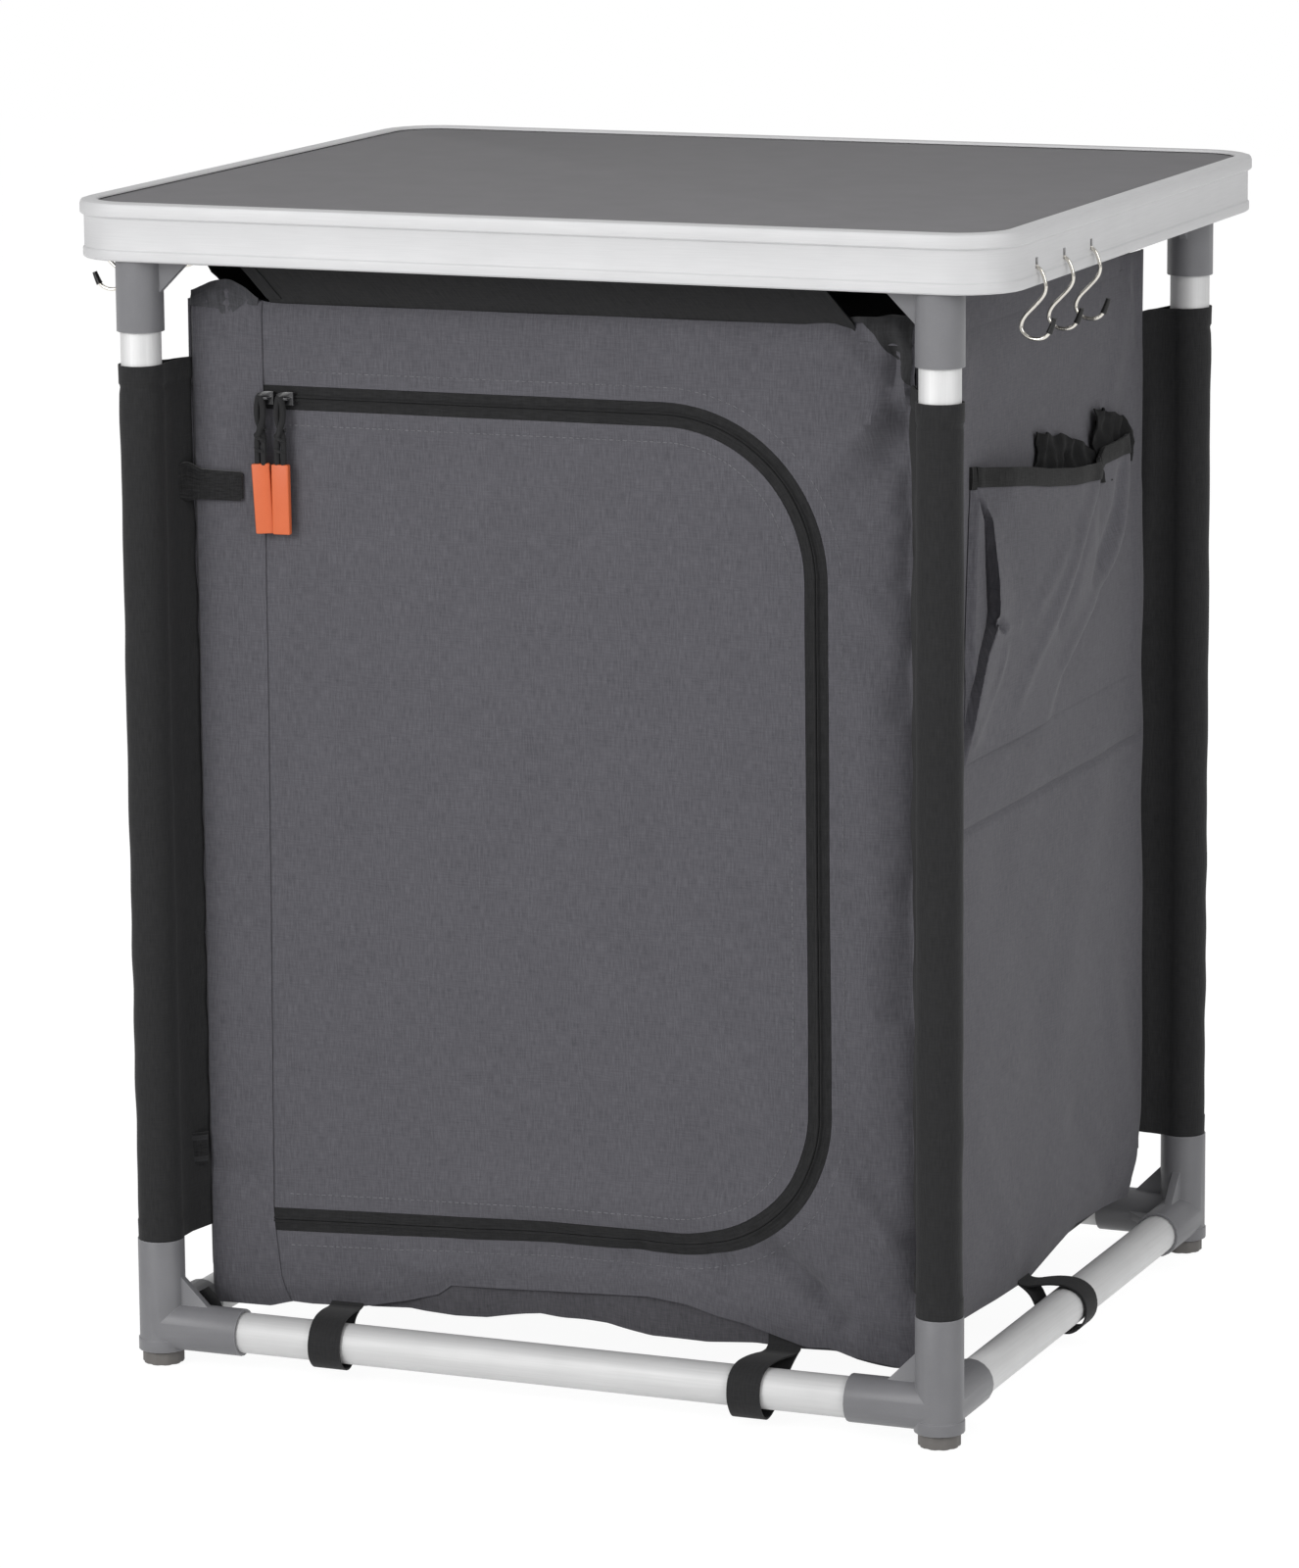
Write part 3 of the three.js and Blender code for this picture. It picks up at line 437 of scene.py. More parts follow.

# %% [markdown]
# ## The hard finishes
# A tube's streaks run along it, so there is one metal for each direction, and the legs and side
# rails are painted paler than the front and back rails, a painted light that evens out how the
# lamps reach them. The feet are a warmer grey than the corners, the plate is a matt laminate, and
# the bright wire of the hooks is the only fully metallic finish.

# %% Metals and plastics
# The paler tones of the legs (z) and side rails (y) are painted light, not a different metal.
TUBE_STREAKS_AND_PAINTED_LIGHT = {"x": (204, 229, (0.02, 1, 1)), "y": (212, 237, (1, 0.02, 1)), "z": (212, 237, (1, 1, 0.02))}
tube_metal = {}
for axis, (dark, light, along) in TUBE_STREAKS_AND_PAINTED_LIGHT.items():
    dark, light = colour(dark, dark, dark), colour(light, light, light)
    tube_metal[axis] = metal_material(f"tube_metal_{axis}", dark, light, along, 0.62, 0.4)
rim_metal = metal_material(
    "rim_metal", colour(206, 206, 207), colour(221, 221, 222), (0.04, 0.04, 1.5), 0.66, 0.4)
# The last colour of a plastic is the paler one its edges are painted, as a highlight.
corner_plastic = plastic_material(
    "corner_plastic", colour(108, 108, 111), colour(130, 130, 133), 0.42, colour(158, 158, 161))
foot_plastic = plastic_material(
    "foot_plastic", colour(98, 95, 93), colour(116, 113, 110), 0.55, colour(134, 131, 128))
plate_laminate = plastic_material(
    "plate_laminate", colour(116, 115, 117), colour(132, 131, 133), 0.75, None, 0.00003)
plate_laminate.node_tree.nodes["Principled BSDF"].inputs["Specular IOR Level"].default_value = 0.2
orange_plastic = plastic_material(
    "orange_grip", colour(202, 90, 46), colour(224, 115, 68), 0.42, colour(236, 142, 98))
black_metal = plastic_material(
    "black_slider", colour(24, 24, 26), colour(44, 44, 46), 0.28, colour(120, 120, 122))
wire_metal = metal_material("bright_wire", colour(206, 202, 192), colour(240, 236, 228), (1, 1, 1), 0.14, 1)
tip_plastic = plastic_material("dipped_tip", colour(16, 16, 17), colour(28, 28, 29), 0.4)
print("materials in the file:", len(bpy.data.materials))

# %% [markdown]
# ## Rigid parts from the CAD
# The tubes, corners, feet, rim and plate already have the right shape, but their meshes are
# loose triangles with hard facets. A copy of each is merged, its flat faces are joined, its
# sharp edges get a small bevel that catches the light, and curved faces are shaded smooth.

# %% How a CAD part is dressed
def only(obj):
    """This object alone is selected and active, in object mode."""
    if bpy.context.object and bpy.context.object.mode != "OBJECT":
        bpy.ops.object.mode_set(mode="OBJECT")
    bpy.ops.object.select_all(action="DESELECT")
    obj.select_set(True)
    bpy.context.view_layer.objects.active = obj


def apply_modifier(obj, kind, **settings):
    modifier = obj.modifiers.new(kind.lower(), kind)
    for key, value in settings.items():
        setattr(modifier, key, value)
    only(obj)
    bpy.ops.object.modifier_apply(modifier=modifier.name)


def dress(node, material, body, bevel=0.4, angle=28):
    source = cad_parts[node]
    piece = bpy.data.objects.new(node + "_dressed", source.data.copy())
    bpy.context.scene.collection.objects.link(piece)
    only(piece)
    if piece.data.has_custom_normals:
        bpy.ops.mesh.customdata_custom_splitnormals_clear()
    bpy.ops.object.mode_set(mode="EDIT")
    bpy.ops.mesh.select_all(action="SELECT")
    bpy.ops.mesh.remove_doubles(threshold=0.00001)
    bpy.ops.mesh.dissolve_limited(angle_limit=math.radians(0.6))
    bpy.ops.object.mode_set(mode="OBJECT")
    piece.data.materials.clear()
    piece.data.materials.append(material)
    apply_modifier(piece, "BEVEL", width=bevel * MM, segments=2, limit_method="ANGLE",
                   angle_limit=math.radians(angle + 6), use_clamp_overlap=True)
    only(piece)
    bpy.ops.object.shade_smooth_by_angle(angle=math.radians(angle + 10))
    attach(piece, body)
    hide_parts(node)
    return piece


print("meshes in the model:", sum(node.type == "MESH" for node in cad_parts.values()))

# %% [markdown]
# ## Frame and tabletop
# The frame has four legs, eight rails and eight corners, so loops over ends, sides and heights
# dress them all. Tubes get a very fine bevel and the moulded corners a larger one, as on the
# real parts. Each copy rides on the body that its part belongs to, and replaces that part.

# %% Frame and tabletop
ENDS = ("front", "back")
SIDES = ("left", "right")
for end in ENDS:
    for side in SIDES:
        dress(f"leg_{end}_{side}", tube_metal["z"], "frame", 0.15)
        dress(f"foot_{end}_{side}", foot_plastic, f"foot_{end}_{side}", 0.25)
        for height in ("bottom", "top"):
            dress(f"corner_{height}_{end}_{side}", corner_plastic, "frame", 0.6)
for height in ("bottom", "top"):
    for end in ENDS:
        dress(f"rail_{height}_{end}", tube_metal["x"], "frame", 0.15)
    for side in SIDES:
        dress(f"rail_{height}_{side}", tube_metal["y"], "frame", 0.15)
dress("table_rim", rim_metal, "tabletop", 0.25, 22)
dress("table_panel", plate_laminate, "tabletop", 0.3, 22)

# %% [markdown]
# ## How cloth is made here
# A cloth piece starts flat, as it is cut, and a function then says where each flat place hangs
# in the room. Sculpting would be freer, but a function can be measured and shared: the door and
# the zip beside it follow the same creases. Its building stones are soft steps, bells, arches,
# rounded corners, and creases along short strokes that were read off the real object.

# %% Shapes that the cloth is made of
def smooth(low, high, value):
    share = np.clip((value - low) / (high - low), 0, 1)
    return share * share * (3 - 2 * share)


def bell(value, centre, width, power=2):
    """1 at the centre, falling softly to 0 on both sides."""
    return np.exp(-((value - centre) / width) ** power)


def arch(value, low, high):
    """0 at both ends and 1 in the middle."""
    return np.sin(np.pi * np.clip((value - low) / (high - low), 0, 1))


def fall_back(radius, past):
    """How far a corner of this radius has turned away, that far past its start."""
    return radius - np.sqrt(radius ** 2 - past ** 2)


def folds(strokes, a, b):
    """The height of ridges and valleys along strokes of (a0, b0, a1, b1, width, height)."""
    total = np.zeros(np.broadcast(a, b).shape)
    for a0, b0, a1, b1, width, height in strokes:
        run = np.array([a1 - a0, b1 - b0])
        along = ((a - a0) * run[0] + (b - b0) * run[1]) / float(run @ run)
        held = np.clip(along, 0, 1)
        away = np.hypot(a - a0 - held * run[0], b - b0 - held * run[1])
        total = total + height * bell(away, 0, width)
    return total


def unevenness(a, b, size, seed):
    """A soft irregular swell between about -1 and 1."""
    rng = np.random.default_rng(seed)
    total = np.zeros(np.broadcast(a, b).shape)
    for _ in range(7):
        angle, phase = rng.uniform(0, 2 * math.pi, 2)
        wave = size * rng.uniform(0.7, 1.8)
        total = total + np.sin((a * math.cos(angle) + b * math.sin(angle)) * 2 * math.pi / wave + phase)
    return total / 4


print("a soft step, a bell and an arch half way:", smooth(0, 2, 1), bell(1, 0, 2).round(2), arch(1, 0, 2))

# %% [markdown]
# ## Cutting the cloth
# A piece with a curved edge is an outline that is filled with an even net of points. Even
# triangles crease evenly, where the long thin ones of a plain face fill would show as facets.
# To know which points lie in the cloth, a line from each is followed sideways, and the times
# that it crosses the outline are counted: an odd number means inside.

# %% Points in an outline
def inside(points, outline):
    """Which points lie inside a closed outline."""
    found = np.zeros(len(points), bool)
    x, y = points[:, 0], points[:, 1]
    for (x0, y0), (x1, y1) in zip(outline, np.roll(outline, -1, axis=0)):
        crosses = (y0 > y) != (y1 > y)
        edge_x = x0 + (y - y0) / np.where(y1 == y0, 1e-12, y1 - y0) * (x1 - x0)
        found ^= crosses & (x < edge_x)
    return found


def even_line(points, step):
    """The same line with a point about every step."""
    dense = []
    for start, stop in zip(points, points[1:]):
        start, stop = np.array(start, float), np.array(stop, float)
        count = max(int(round(np.linalg.norm(stop - start) / step)), 1)
        dense += [start + (stop - start) * i / count for i in range(count)]
    return dense + [np.array(points[-1], float)]


def in_cloth(points, loops):
    """Which points lie inside the first outline and outside the others."""
    keep = inside(points, loops[0])
    for loop in loops[1:]:
        keep &= ~inside(points, loop)
    return keep


print("points on a line of 10 mm with a step of 2.5:", len(even_line([(0, 0), (10, 0)], 2.5)))

# %% [markdown]
# ## Filling an outline
# Net points too near the edge are left out, because they would make slivers, and a Delaunay
# triangulation that keeps the outline's edges joins the rest. A piece with straight edges is
# a plain grid, whose lines can stand closer where it bends more.

# %% Fill an outline or lay a grid
def fill_cut(outlines, step):
    """Points and triangles that fill the first closed outline, less the others."""
    loops = [np.array(even_line(list(line) + [line[0]], step)[:-1]) for line in outlines]
    low, high = loops[0].min(0), loops[0].max(0)
    across, upward = np.meshgrid(np.arange(low[0] + step / 2, high[0], step),
                                 np.arange(low[1] + step / 2, high[1], step))
    net = np.stack([across.ravel(), upward.ravel()], 1)
    net = net[in_cloth(net, loops)]
    edge_points = np.concatenate(loops)
    near = np.array([np.min(np.sum((edge_points - p) ** 2, 1)) for p in net])
    net = net[near > (0.55 * step) ** 2]
    edges, start = [], 0
    for loop in loops:
        count = len(loop)
        edges += [(start + i, start + (i + 1) % count) for i in range(count)]
        start += count
    points = np.concatenate([edge_points, net])
    result = delaunay_2d_cdt([Vector(p) for p in points], edges, [], 0, 1e-6)
    flat = np.array([tuple(p) for p in result[0]])
    faces = np.array([tuple(face) for face in result[2] if len(face) == 3])
    return flat, faces[in_cloth(flat[faces].mean(1), loops)]


def grid_cut(across, upward):
    """Points and faces of a plain grid with these lines."""
    u, v = np.meshgrid(np.asarray(across, float), np.asarray(upward, float))
    flat = np.stack([u.ravel(), v.ravel()], 1)
    rows, columns = u.shape
    index = np.arange(rows * columns).reshape(rows, columns)
    faces = np.stack([index[:-1, :-1], index[:-1, 1:], index[1:, 1:], index[1:, :-1]], -1).reshape(-1, 4)
    return flat, faces


print("faces in a grid of 3 by 2 lines:", len(grid_cut([0, 1, 2], [0, 1])[1]))

# %% [markdown]
# ## Hanging the cloth
# The flat places become the UV map, in metres, so that the weave keeps its true size. The sheet
# gets its thickness from a Solidify modifier, which grows away from the side that is seen.

# %% Hang a piece of cloth
CLOTH_THICKNESS = 1.6


def cloth(name, cut, place, material, body, nodes=(), thickness=CLOTH_THICKNESS):
    """A cloth piece from a flat cut and a function from flat places to the room, all in mm."""
    flat, faces = cut
    spots = np.asarray(place(flat[:, 0], flat[:, 1]), float)
    mesh = bpy.data.meshes.new(name)
    mesh.from_pydata((spots * MM).tolist(), [], faces.tolist())
    corners = np.empty(len(mesh.loops), np.int32)
    mesh.loops.foreach_get("vertex_index", corners)
    uv = mesh.uv_layers.new(name="cut")
    uv.data.foreach_set("uv", (flat[corners] * MM).astype(np.float32).ravel())
    piece = bpy.data.objects.new(name, mesh)
    bpy.context.scene.collection.objects.link(piece)
    mesh.materials.append(material)
    apply_modifier(piece, "SOLIDIFY", thickness=thickness * MM, offset=-1, use_rim=True)
    bpy.ops.object.shade_smooth_by_angle(angle=math.radians(48))
    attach(piece, body)
    if nodes:
        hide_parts(*nodes)
    return piece


print("usual thickness of the cloth in mm:", CLOTH_THICKNESS)

# %% [markdown]
# ## Measures of the cabinet
# The cabinet hangs from 37 to 656 mm above the ground. The zip runs round three sides of the
# door with one wide turn at each right corner, and the door swings on the seam at its left.

# %% Measures in millimetres
CAB_X, FRONT_Y, BACK_Y, CAB_LOW, CAB_HIGH = 231, -206, 216, 37, 656
LEFT_X, STRIP = 235.3, 47
ZIP_TOP, ZIP_LOW, ZIP_RIGHT, ZIP_TURN, SEAM = 601, 90, 170, 96, -188
ZIP_BACK = ZIP_RIGHT - ZIP_TURN
TAPE = 7.2
ZIP_MID, ZIP_HALF = (ZIP_TOP + ZIP_LOW) / 2, (ZIP_TOP - ZIP_LOW) / 2
SHELF_SEAM = 346
print("cabinet in mm:", 2 * CAB_X, "by", BACK_Y - FRONT_Y, "by", CAB_HIGH - CAB_LOW)

# %% [markdown]
# ## Creases of the front
# Each crease is one stroke: where it starts and ends on the flat cloth, how wide it is, and how
# far it stands out, or sinks in where the height is negative. The strongest run down from the
# right top corner, where the cloth is pulled, and along the turn of the zip below.

# %% Creases of the front
front_strokes = [
    (217.8, 640, 219.2, 612, 6, -5.0), (224, 650, 231, 640, 5, 2.5),
    (231, 629, 204.6, 600.7, 8, 3.6), (204.6, 600.7, 176, 573, 9, 2.2),
    (230, 604, 215.8, 581, 8, -2.6), (215.8, 581, 192, 555, 11, -1.6),
    (228, 570, 223.8, 553, 5, -2.4), (229, 532, 224, 506, 6, -2.6),
    (199, 497, 217, 479, 9, 1.8), (226, 459, 222, 430, 6, -2.0),
    (203, 440, 206, 330, 12, 1.8), (226, 330, 221, 250, 7, -2.2),
    (199, 290, 205, 190, 12, 1.6), (190, 657, 205, 640, 6, -2.4),
    (188.8, 142, 213, 115, 9, 2.8), (213, 115, 227, 109, 8, 2.0),
    (141.8, 93, 166.6, 74, 7, -3.0), (166.6, 74, 182, 58, 6, -3.0),
    (183, 60, 184, 46, 3.5, -1.8), (196, 90, 222, 66, 9, 1.8),
    (208, 53, 226, 46, 6, -1.6), (40.5, 74, 52, 87, 6, -1.8),
    (107, 80, 110, 62, 5, -2.2), (-60, 84, -30, 70, 9, 1.2),
    (-226, 120, -206, 118, 10, -1.8), (-110, 70, -90, 60, 7, 1.4),
    (120, 210, 160, 150, 14, 1.4), (60, 300, 140, 180, 26, 1.0),
    (-120, 480, -60, 250, 40, 0.8), (110, 520, 60, 420, 34, -0.8),
    (20, 560, 90, 470, 30, 0.8), (227, 627, 193, 594, 8, 1.6),
    (216, 636, 216, 612, 5, -2.0), (143, 95, 165, 78, 7, -1.6),
    (171, 124, 214, 99, 12, 1.6), (-226, 652, -213, 640, 3, -1.6),
    (-213, 640, -199, 650, 3, -1.6), (-222, 610, -216, 560, 8, 1.0),
]
print("creases in the front:", len(front_strokes))

# %% [markdown]
# ## Edges of the front
# The hem hangs higher in the middle, the zip's lower line follows it a little, and the top
# corners are pulled up towards the frame. Each edge is a table of measured rises.

# %% Rises of the hem, the zip and the top
def hem_rise(x):
    return np.interp(
        x, [-235, -196, -182, -169, -134, -103, -79, -77.4, -11, 29,
            57, 82, 102, 120, 128, 158, 175, 185, 215, 231],
        [-4, -3.4, 0.6, 0.2, 1.8, 8.7, 15.6, 20.8, 24, 25.6,
         26.8, 24.2, 18.6, 15.4, 12.8, 4.2, 5.2, 1.6, -2.2, -4])


def zip_rise(x):
    return np.interp(x, [-231, -190, -99, -7, 60, 100, 135, 175, 231],
                     [0, 0.3, 4.4, 8.3, 8.6, 8.2, 4.5, 0.5, 0])


def top_rise(x):
    known = [-235, -229, -219, -208, -200, -191, -180, 163, 187, 200, 208, 219, 231]
    rise = [5.7, 8.6, 13, 14, 11.4, 3, 1.5, 1, 4, 6, 5.5, 8, 6]
    return sum(np.interp(x + step, known, rise) for step in (-3, 0, 3)) / 3


print("rise of the hem in its middle, in mm:", round(float(hem_rise(0)), 1))

# %% [markdown]
# ## How the front hangs
# One function takes a flat place to the room: up by the rises, out by a soft bulge, by the
# creases, by a small ridge along the zip and by the curl of the hem, and back at the rounded
# sides and the tucked edges. The whole cabinet also hangs a little askew. The door, the zip and
# the stitches are placed by this same function, so they share every crease.

# %% Hang a place of the front
def zip_distance(x, z):
    """How far a place of the front lies outside the zip's line; negative on the door."""
    across = x - ZIP_BACK
    upward = np.abs(z - ZIP_MID) - (ZIP_HALF - ZIP_TURN)
    outer = np.hypot(np.maximum(across, 0), np.maximum(upward, 0))
    return outer + np.minimum(np.maximum(across, upward), 0) - ZIP_TURN


def settle(z):
    """The cabinet hangs a little askew: how far it leans to the left at a height."""
    return np.interp(z, [30, 150, 300, 450, 656], [0.2, -0.4, -1.2, -2.1, -3.2])


def front_stand(x, z):
    """How far the front stands out of its plane."""
    across = arch(x, -CAB_X, CAB_X)
    calm = 1 - smooth(ZIP_TOP - 60, ZIP_TOP - 30, z)
    quiet_corner = smooth(ZIP_TOP - 40, ZIP_TOP - 15, z) * (x < -120)
    stand = 3.4 * across * arch(z, CAB_LOW, ZIP_TOP) * calm
    stand = stand + 1.5 * folds(front_strokes, x, z) * (1 - 0.75 * smooth(0.5, 1, across) * (1 - calm))
    stand = stand + 0.35 * unevenness(x, z, 70, 3) * (1 - 0.8 * quiet_corner)
    stand = stand + 0.5 * bell(np.abs(zip_distance(x, z)), TAPE + 2, 2.4) * (x > SEAM)
    return stand + bell(x, 30, 120, 4) * (4.2 * bell(z, 112, 16) - 4.6 * bell(z, 80, 12))


def front_place(x, z, out=0.0):
    """Where a flat place of the front hangs. out is how far it stands in front of the cloth."""
    low = smooth(CAB_LOW, ZIP_LOW - 12, z)
    high = 1 - smooth(115, 330, z)
    rise = hem_rise(x) * (1 - low) + zip_rise(x) * low * high
    rise = rise + top_rise(x) * smooth(634, CAB_HIGH, z)
    past_left = np.clip(-x - (LEFT_X - 3), 0, 3)
    past_right = np.clip(x - (CAB_X - 15), 0, 15)
    hem_tuck = (3 - 2.4 * bell(x, 30, 105, 4)) * (1 - smooth(CAB_LOW, CAB_LOW + 16, z)) ** 2
    top_tuck = 2.2 * smooth(CAB_HIGH - 8, CAB_HIGH, z) ** 2
    stand = front_stand(x, z) - fall_back(3, past_left) - fall_back(18, past_right) - hem_tuck - top_tuck
    share = z / CAB_HIGH
    askew = -0.55 + 1.3 * share + x * (0.0028 + 0.0013 * share)
    pulled = np.interp(z, [30, 150, 300, 450, 656], [0, 0.4, 1.0, 1.7, 1.9]) * (1 - smooth(-200, 60, x))
    return np.stack([x + settle(z) + pulled, FRONT_Y - stand - out, z + rise + askew], -1)


middle = front_place(np.array([0.0]), np.array([ZIP_MID]))[0]
print("the front's middle stands out by mm:", round(FRONT_Y - float(middle[1]), 1))

# %% [markdown]
# ## Front and door
# The front cloth and the door are cut from the same outline: the zip's line, grown outwards for
# the hole in the front, and shrunk for the door. At the left both end on the sewn seam, which
# isn't quite straight, so it is a table too.

# %% Cut and hang the front and the door
def seam_x(z):
    return np.interp(z, [37, 55, 83, 98, 166, 302, 484, 606, 656],
                     [-182.6, -187.4, -190.6, -191.6, -190.8, -188.9, -187.8, -187.2, -187.4])


def zip_outline(grow, gap):
    """The zip's line grown outwards, closed along the sewn seam, that far beside it."""
    turn = ZIP_TURN + grow
    angles = np.linspace(0, math.pi / 2, 25)
    top = [(ZIP_BACK + turn * math.sin(a), ZIP_TOP - ZIP_TURN + turn * math.cos(a)) for a in angles]
    low = [(ZIP_BACK + turn * math.cos(a), ZIP_LOW + ZIP_TURN - turn * math.sin(a)) for a in angles]
    sewn = [(seam_x(z) + gap, z) for z in np.linspace(ZIP_LOW - grow, ZIP_TOP + grow, 40)]
    return top + low + sewn


front_outline = [(-LEFT_X, CAB_LOW), (CAB_X, CAB_LOW), (CAB_X, CAB_HIGH), (-LEFT_X, CAB_HIGH)]
front_cut = fill_cut([front_outline, zip_outline(TAPE + 0.1, -1.2)], 4.5)
front_panel = cloth("front_cloth", front_cut, front_place, grey_cloth, "frame", ["front_panel"])
door_cut = fill_cut([zip_outline(-TAPE - 0.1, -0.8)], 5)
door_panel = cloth("door_cloth", door_cut, front_place, grey_cloth, "door", ["door_panel"])
print("front and door faces:", len(front_panel.data.polygons), len(door_panel.data.polygons))

# %% [markdown]
# ## The folded strip
# Along the left edge the cloth is folded double, and the fold's edge is the line that the door
# swings on. It is a second sheet in front of the first, whose edge rounds down to it.

# %% Folded strip
def strip_place(u, v):
    x = -LEFT_X + (seam_x(v) + LEFT_X) * u / STRIP
    lip = 1 - bell(u, STRIP, 1.6) * 0.55
    return front_place(x, v, 0.25 + 1.5 * lip)


strip_lines = np.concatenate([np.linspace(0, 42, 18), [44, 45.4, 46.4, STRIP]])
cloth("front_folded_strip", grid_cut(strip_lines, np.linspace(37.3, 655.7, 150)), strip_place,
      grey_cloth, "frame", thickness=1.5)
print("width of the strip in mm:", STRIP)

# %% [markdown]
# ## The zip
# The zip is two tapes, each with half of the coil along its inner edge. Tapes and stitches are
# made from one line of places along the zip, with the outward way at each: along the top,
# round the upper turn, down, round the lower turn and back to the seam.

# %% Line of the zip
def zip_spot(run, start):
    """The place and the outward way this far along the zip."""
    quarter = ZIP_TURN * math.pi / 2
    down = ZIP_TOP - ZIP_LOW - 2 * ZIP_TURN
    if run < ZIP_BACK - start:
        return (start + run, ZIP_TOP), (0, 1)
    run = run - (ZIP_BACK - start)
    if run < quarter:
        way = (math.sin(run / ZIP_TURN), math.cos(run / ZIP_TURN))
        return (ZIP_BACK + ZIP_TURN * way[0], ZIP_TOP - ZIP_TURN + ZIP_TURN * way[1]), way
    run = run - quarter
    if run < down:
        return (ZIP_RIGHT, ZIP_TOP - ZIP_TURN - run), (1, 0)
    run = run - down
    if run < quarter:
        way = (math.cos(run / ZIP_TURN), -math.sin(run / ZIP_TURN))
        return (ZIP_BACK + ZIP_TURN * way[0], ZIP_LOW + ZIP_TURN + ZIP_TURN * way[1]), way
    return (ZIP_BACK - (run - quarter), ZIP_LOW), (0, -1)


def zip_line(step, start, low_start):
    """Places along the zip, the outward way at each, and the run so far."""
    turns = 2 * ZIP_TURN * math.pi / 2
    total = ZIP_BACK - start + turns + ZIP_TOP - ZIP_LOW - 2 * ZIP_TURN + ZIP_BACK - low_start
    runs = np.linspace(0, total, int(total / step) + 1)
    places, ways = zip(*(zip_spot(run, start) for run in runs))
    return np.array(places), np.array(ways), runs


zip_places, zip_ways, zip_runs = zip_line(3.0, SEAM + 0.3, SEAM - 3.5)
print("length of the zip in mm:", round(zip_runs[-1]))

# %% [markdown]
# ## Tape and coil
# A table gives the height of the coil and the tape across each half. The coil is so fine that
# it reads as one raised ridge along the inner edge, and a ridge also keeps the piece light.

# %% Halves of the zip
COIL_STEPS = np.array([0.12, 0.35, 0.9, 1.5, 1.9, 2.3, 4.6, 7.0])
COIL_HEIGHTS = np.array([0.55, 1.05, 1.3, 1.0, 0.35, 0.1, 0.15, -0.1])


def zip_half(name, sign, body, node):
    def place(u, v):
        index = np.rint(v / zip_runs[-1] * (len(zip_runs) - 1)).astype(int)
        spot = zip_places[index] + zip_ways[index] * (sign * u)[:, None]
        return front_place(spot[:, 0], spot[:, 1], np.interp(u, COIL_STEPS, COIL_HEIGHTS))

    flat, faces = grid_cut(COIL_STEPS, zip_runs)
    if sign > 0:
        faces = faces[:, ::-1]
    cloth(name, (flat, faces), place, tape_cloth, body, [node], 1.0)


zip_half("zip_outer_half", 1, "frame", "zip_frame_half")
zip_half("zip_inner_half", -1, "door", "zip_door_half")
print("width of the closed zip in mm:", 2 * COIL_STEPS[-1])

# %% [markdown]
# ## The stitches
# Two rows of pale stitches follow the zip, one on the frame's side and one on the door. A stitch
# is a tiny bar with pointed ends, because hundreds of them have to stay light, and all the
# stitches of a row share one mesh.

# %% Stitches
STITCH_PITCH, STITCH_LENGTH, STITCH_START = 4.3, 3.0, SEAM + 9
stitch_ring = [(0, 0.34), (0.30, 0.0), (0, -0.34), (-0.30, 0.0)]
stitch_shape = [(-STITCH_LENGTH / 2, 0, 0)]
for along in (-STITCH_LENGTH / 3, STITCH_LENGTH / 3):
    stitch_shape += [(along, side, out) for side, out in stitch_ring]
stitch_shape += [(STITCH_LENGTH / 2, 0, 0)]
stitch_faces = []
for i in range(4):
    j = (i + 1) % 4
    stitch_faces += [(0, 1 + j, 1 + i), (1 + i, 1 + j, 5 + j, 5 + i), (9, 5 + i, 5 + j)]


def stitch_row(name, offset, body):
    """A row of small bars along the zip's line, all in one mesh."""
    places, ways, runs = zip_line(STITCH_PITCH, STITCH_START, STITCH_START)
    corners, faces = [], []
    for number, (spot, way) in enumerate(zip(places + ways * offset, ways)):
        run = np.array([way[1], -way[0]])
        for along, side, out in stitch_shape:
            corners.append((*(spot + run * along + way * side), out + 0.12))
        first = len(stitch_shape) * number
        faces += [tuple(first + corner for corner in face) for face in stitch_faces]
    mesh = bpy.data.meshes.new(name)
    mesh.from_pydata((front_place(*np.array(corners).T) * MM).tolist(), [], faces)
    mesh.materials.append(thread_cloth)
    piece = bpy.data.objects.new(name, mesh)
    bpy.context.scene.collection.objects.link(piece)
    only(piece)
    bpy.ops.object.mode_set(mode="EDIT")
    bpy.ops.mesh.select_all(action="SELECT")
    bpy.ops.mesh.normals_make_consistent(inside=False)
    bpy.ops.object.mode_set(mode="OBJECT")
    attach(piece, body)
    print(name, "has stitches:", len(runs))


stitch_row("stitches_outer", 16, "frame")
stitch_row("stitches_inner", -16.5, "door")

# %% [markdown]
# ## The hem's inner layer
# Under the raised hem a second layer of the same cloth shows, turned in towards the floor board.
# It is its own sheet, a little behind the front, with a soft wave along its free edge. Its grey
# is painted darker than the front's, as the shade under the hem.

# %% Inner hem
HEM_CUT, HEM_TOP = 45, 84


def inner_hem_place(u, v):
    low = np.interp(
        u, [-140, -131, -104, -94, -73, -52, -26, -15, 0, 29, 57, 93, 124, 154, 175, 188, 214, 226],
        [37.5, 36.9, 39, 38.1, 37.2, 38, 43.1, 44.8, 43.1, 42.8, 37.7, 36.9, 39.5, 38.9, 39, 35.5, 32.5, 33])
    z = low + (HEM_TOP - low) * v / HEM_CUT
    front = front_place(u, CAB_LOW + (z - low) * 0.9)
    low_share = 1 - v / HEM_CUT
    hidden = smooth(2, 10, z - CAB_LOW - hem_rise(u))
    wave = 1.3 * np.sin(u / 12.0 + 1.5 * np.sin(u / 31.0)) * low_share * (1 - hidden)
    return np.stack([u, front[:, 1] + 3.2 + 4.5 * hidden + 2.2 * low_share ** 1.5 + wave, z], -1)


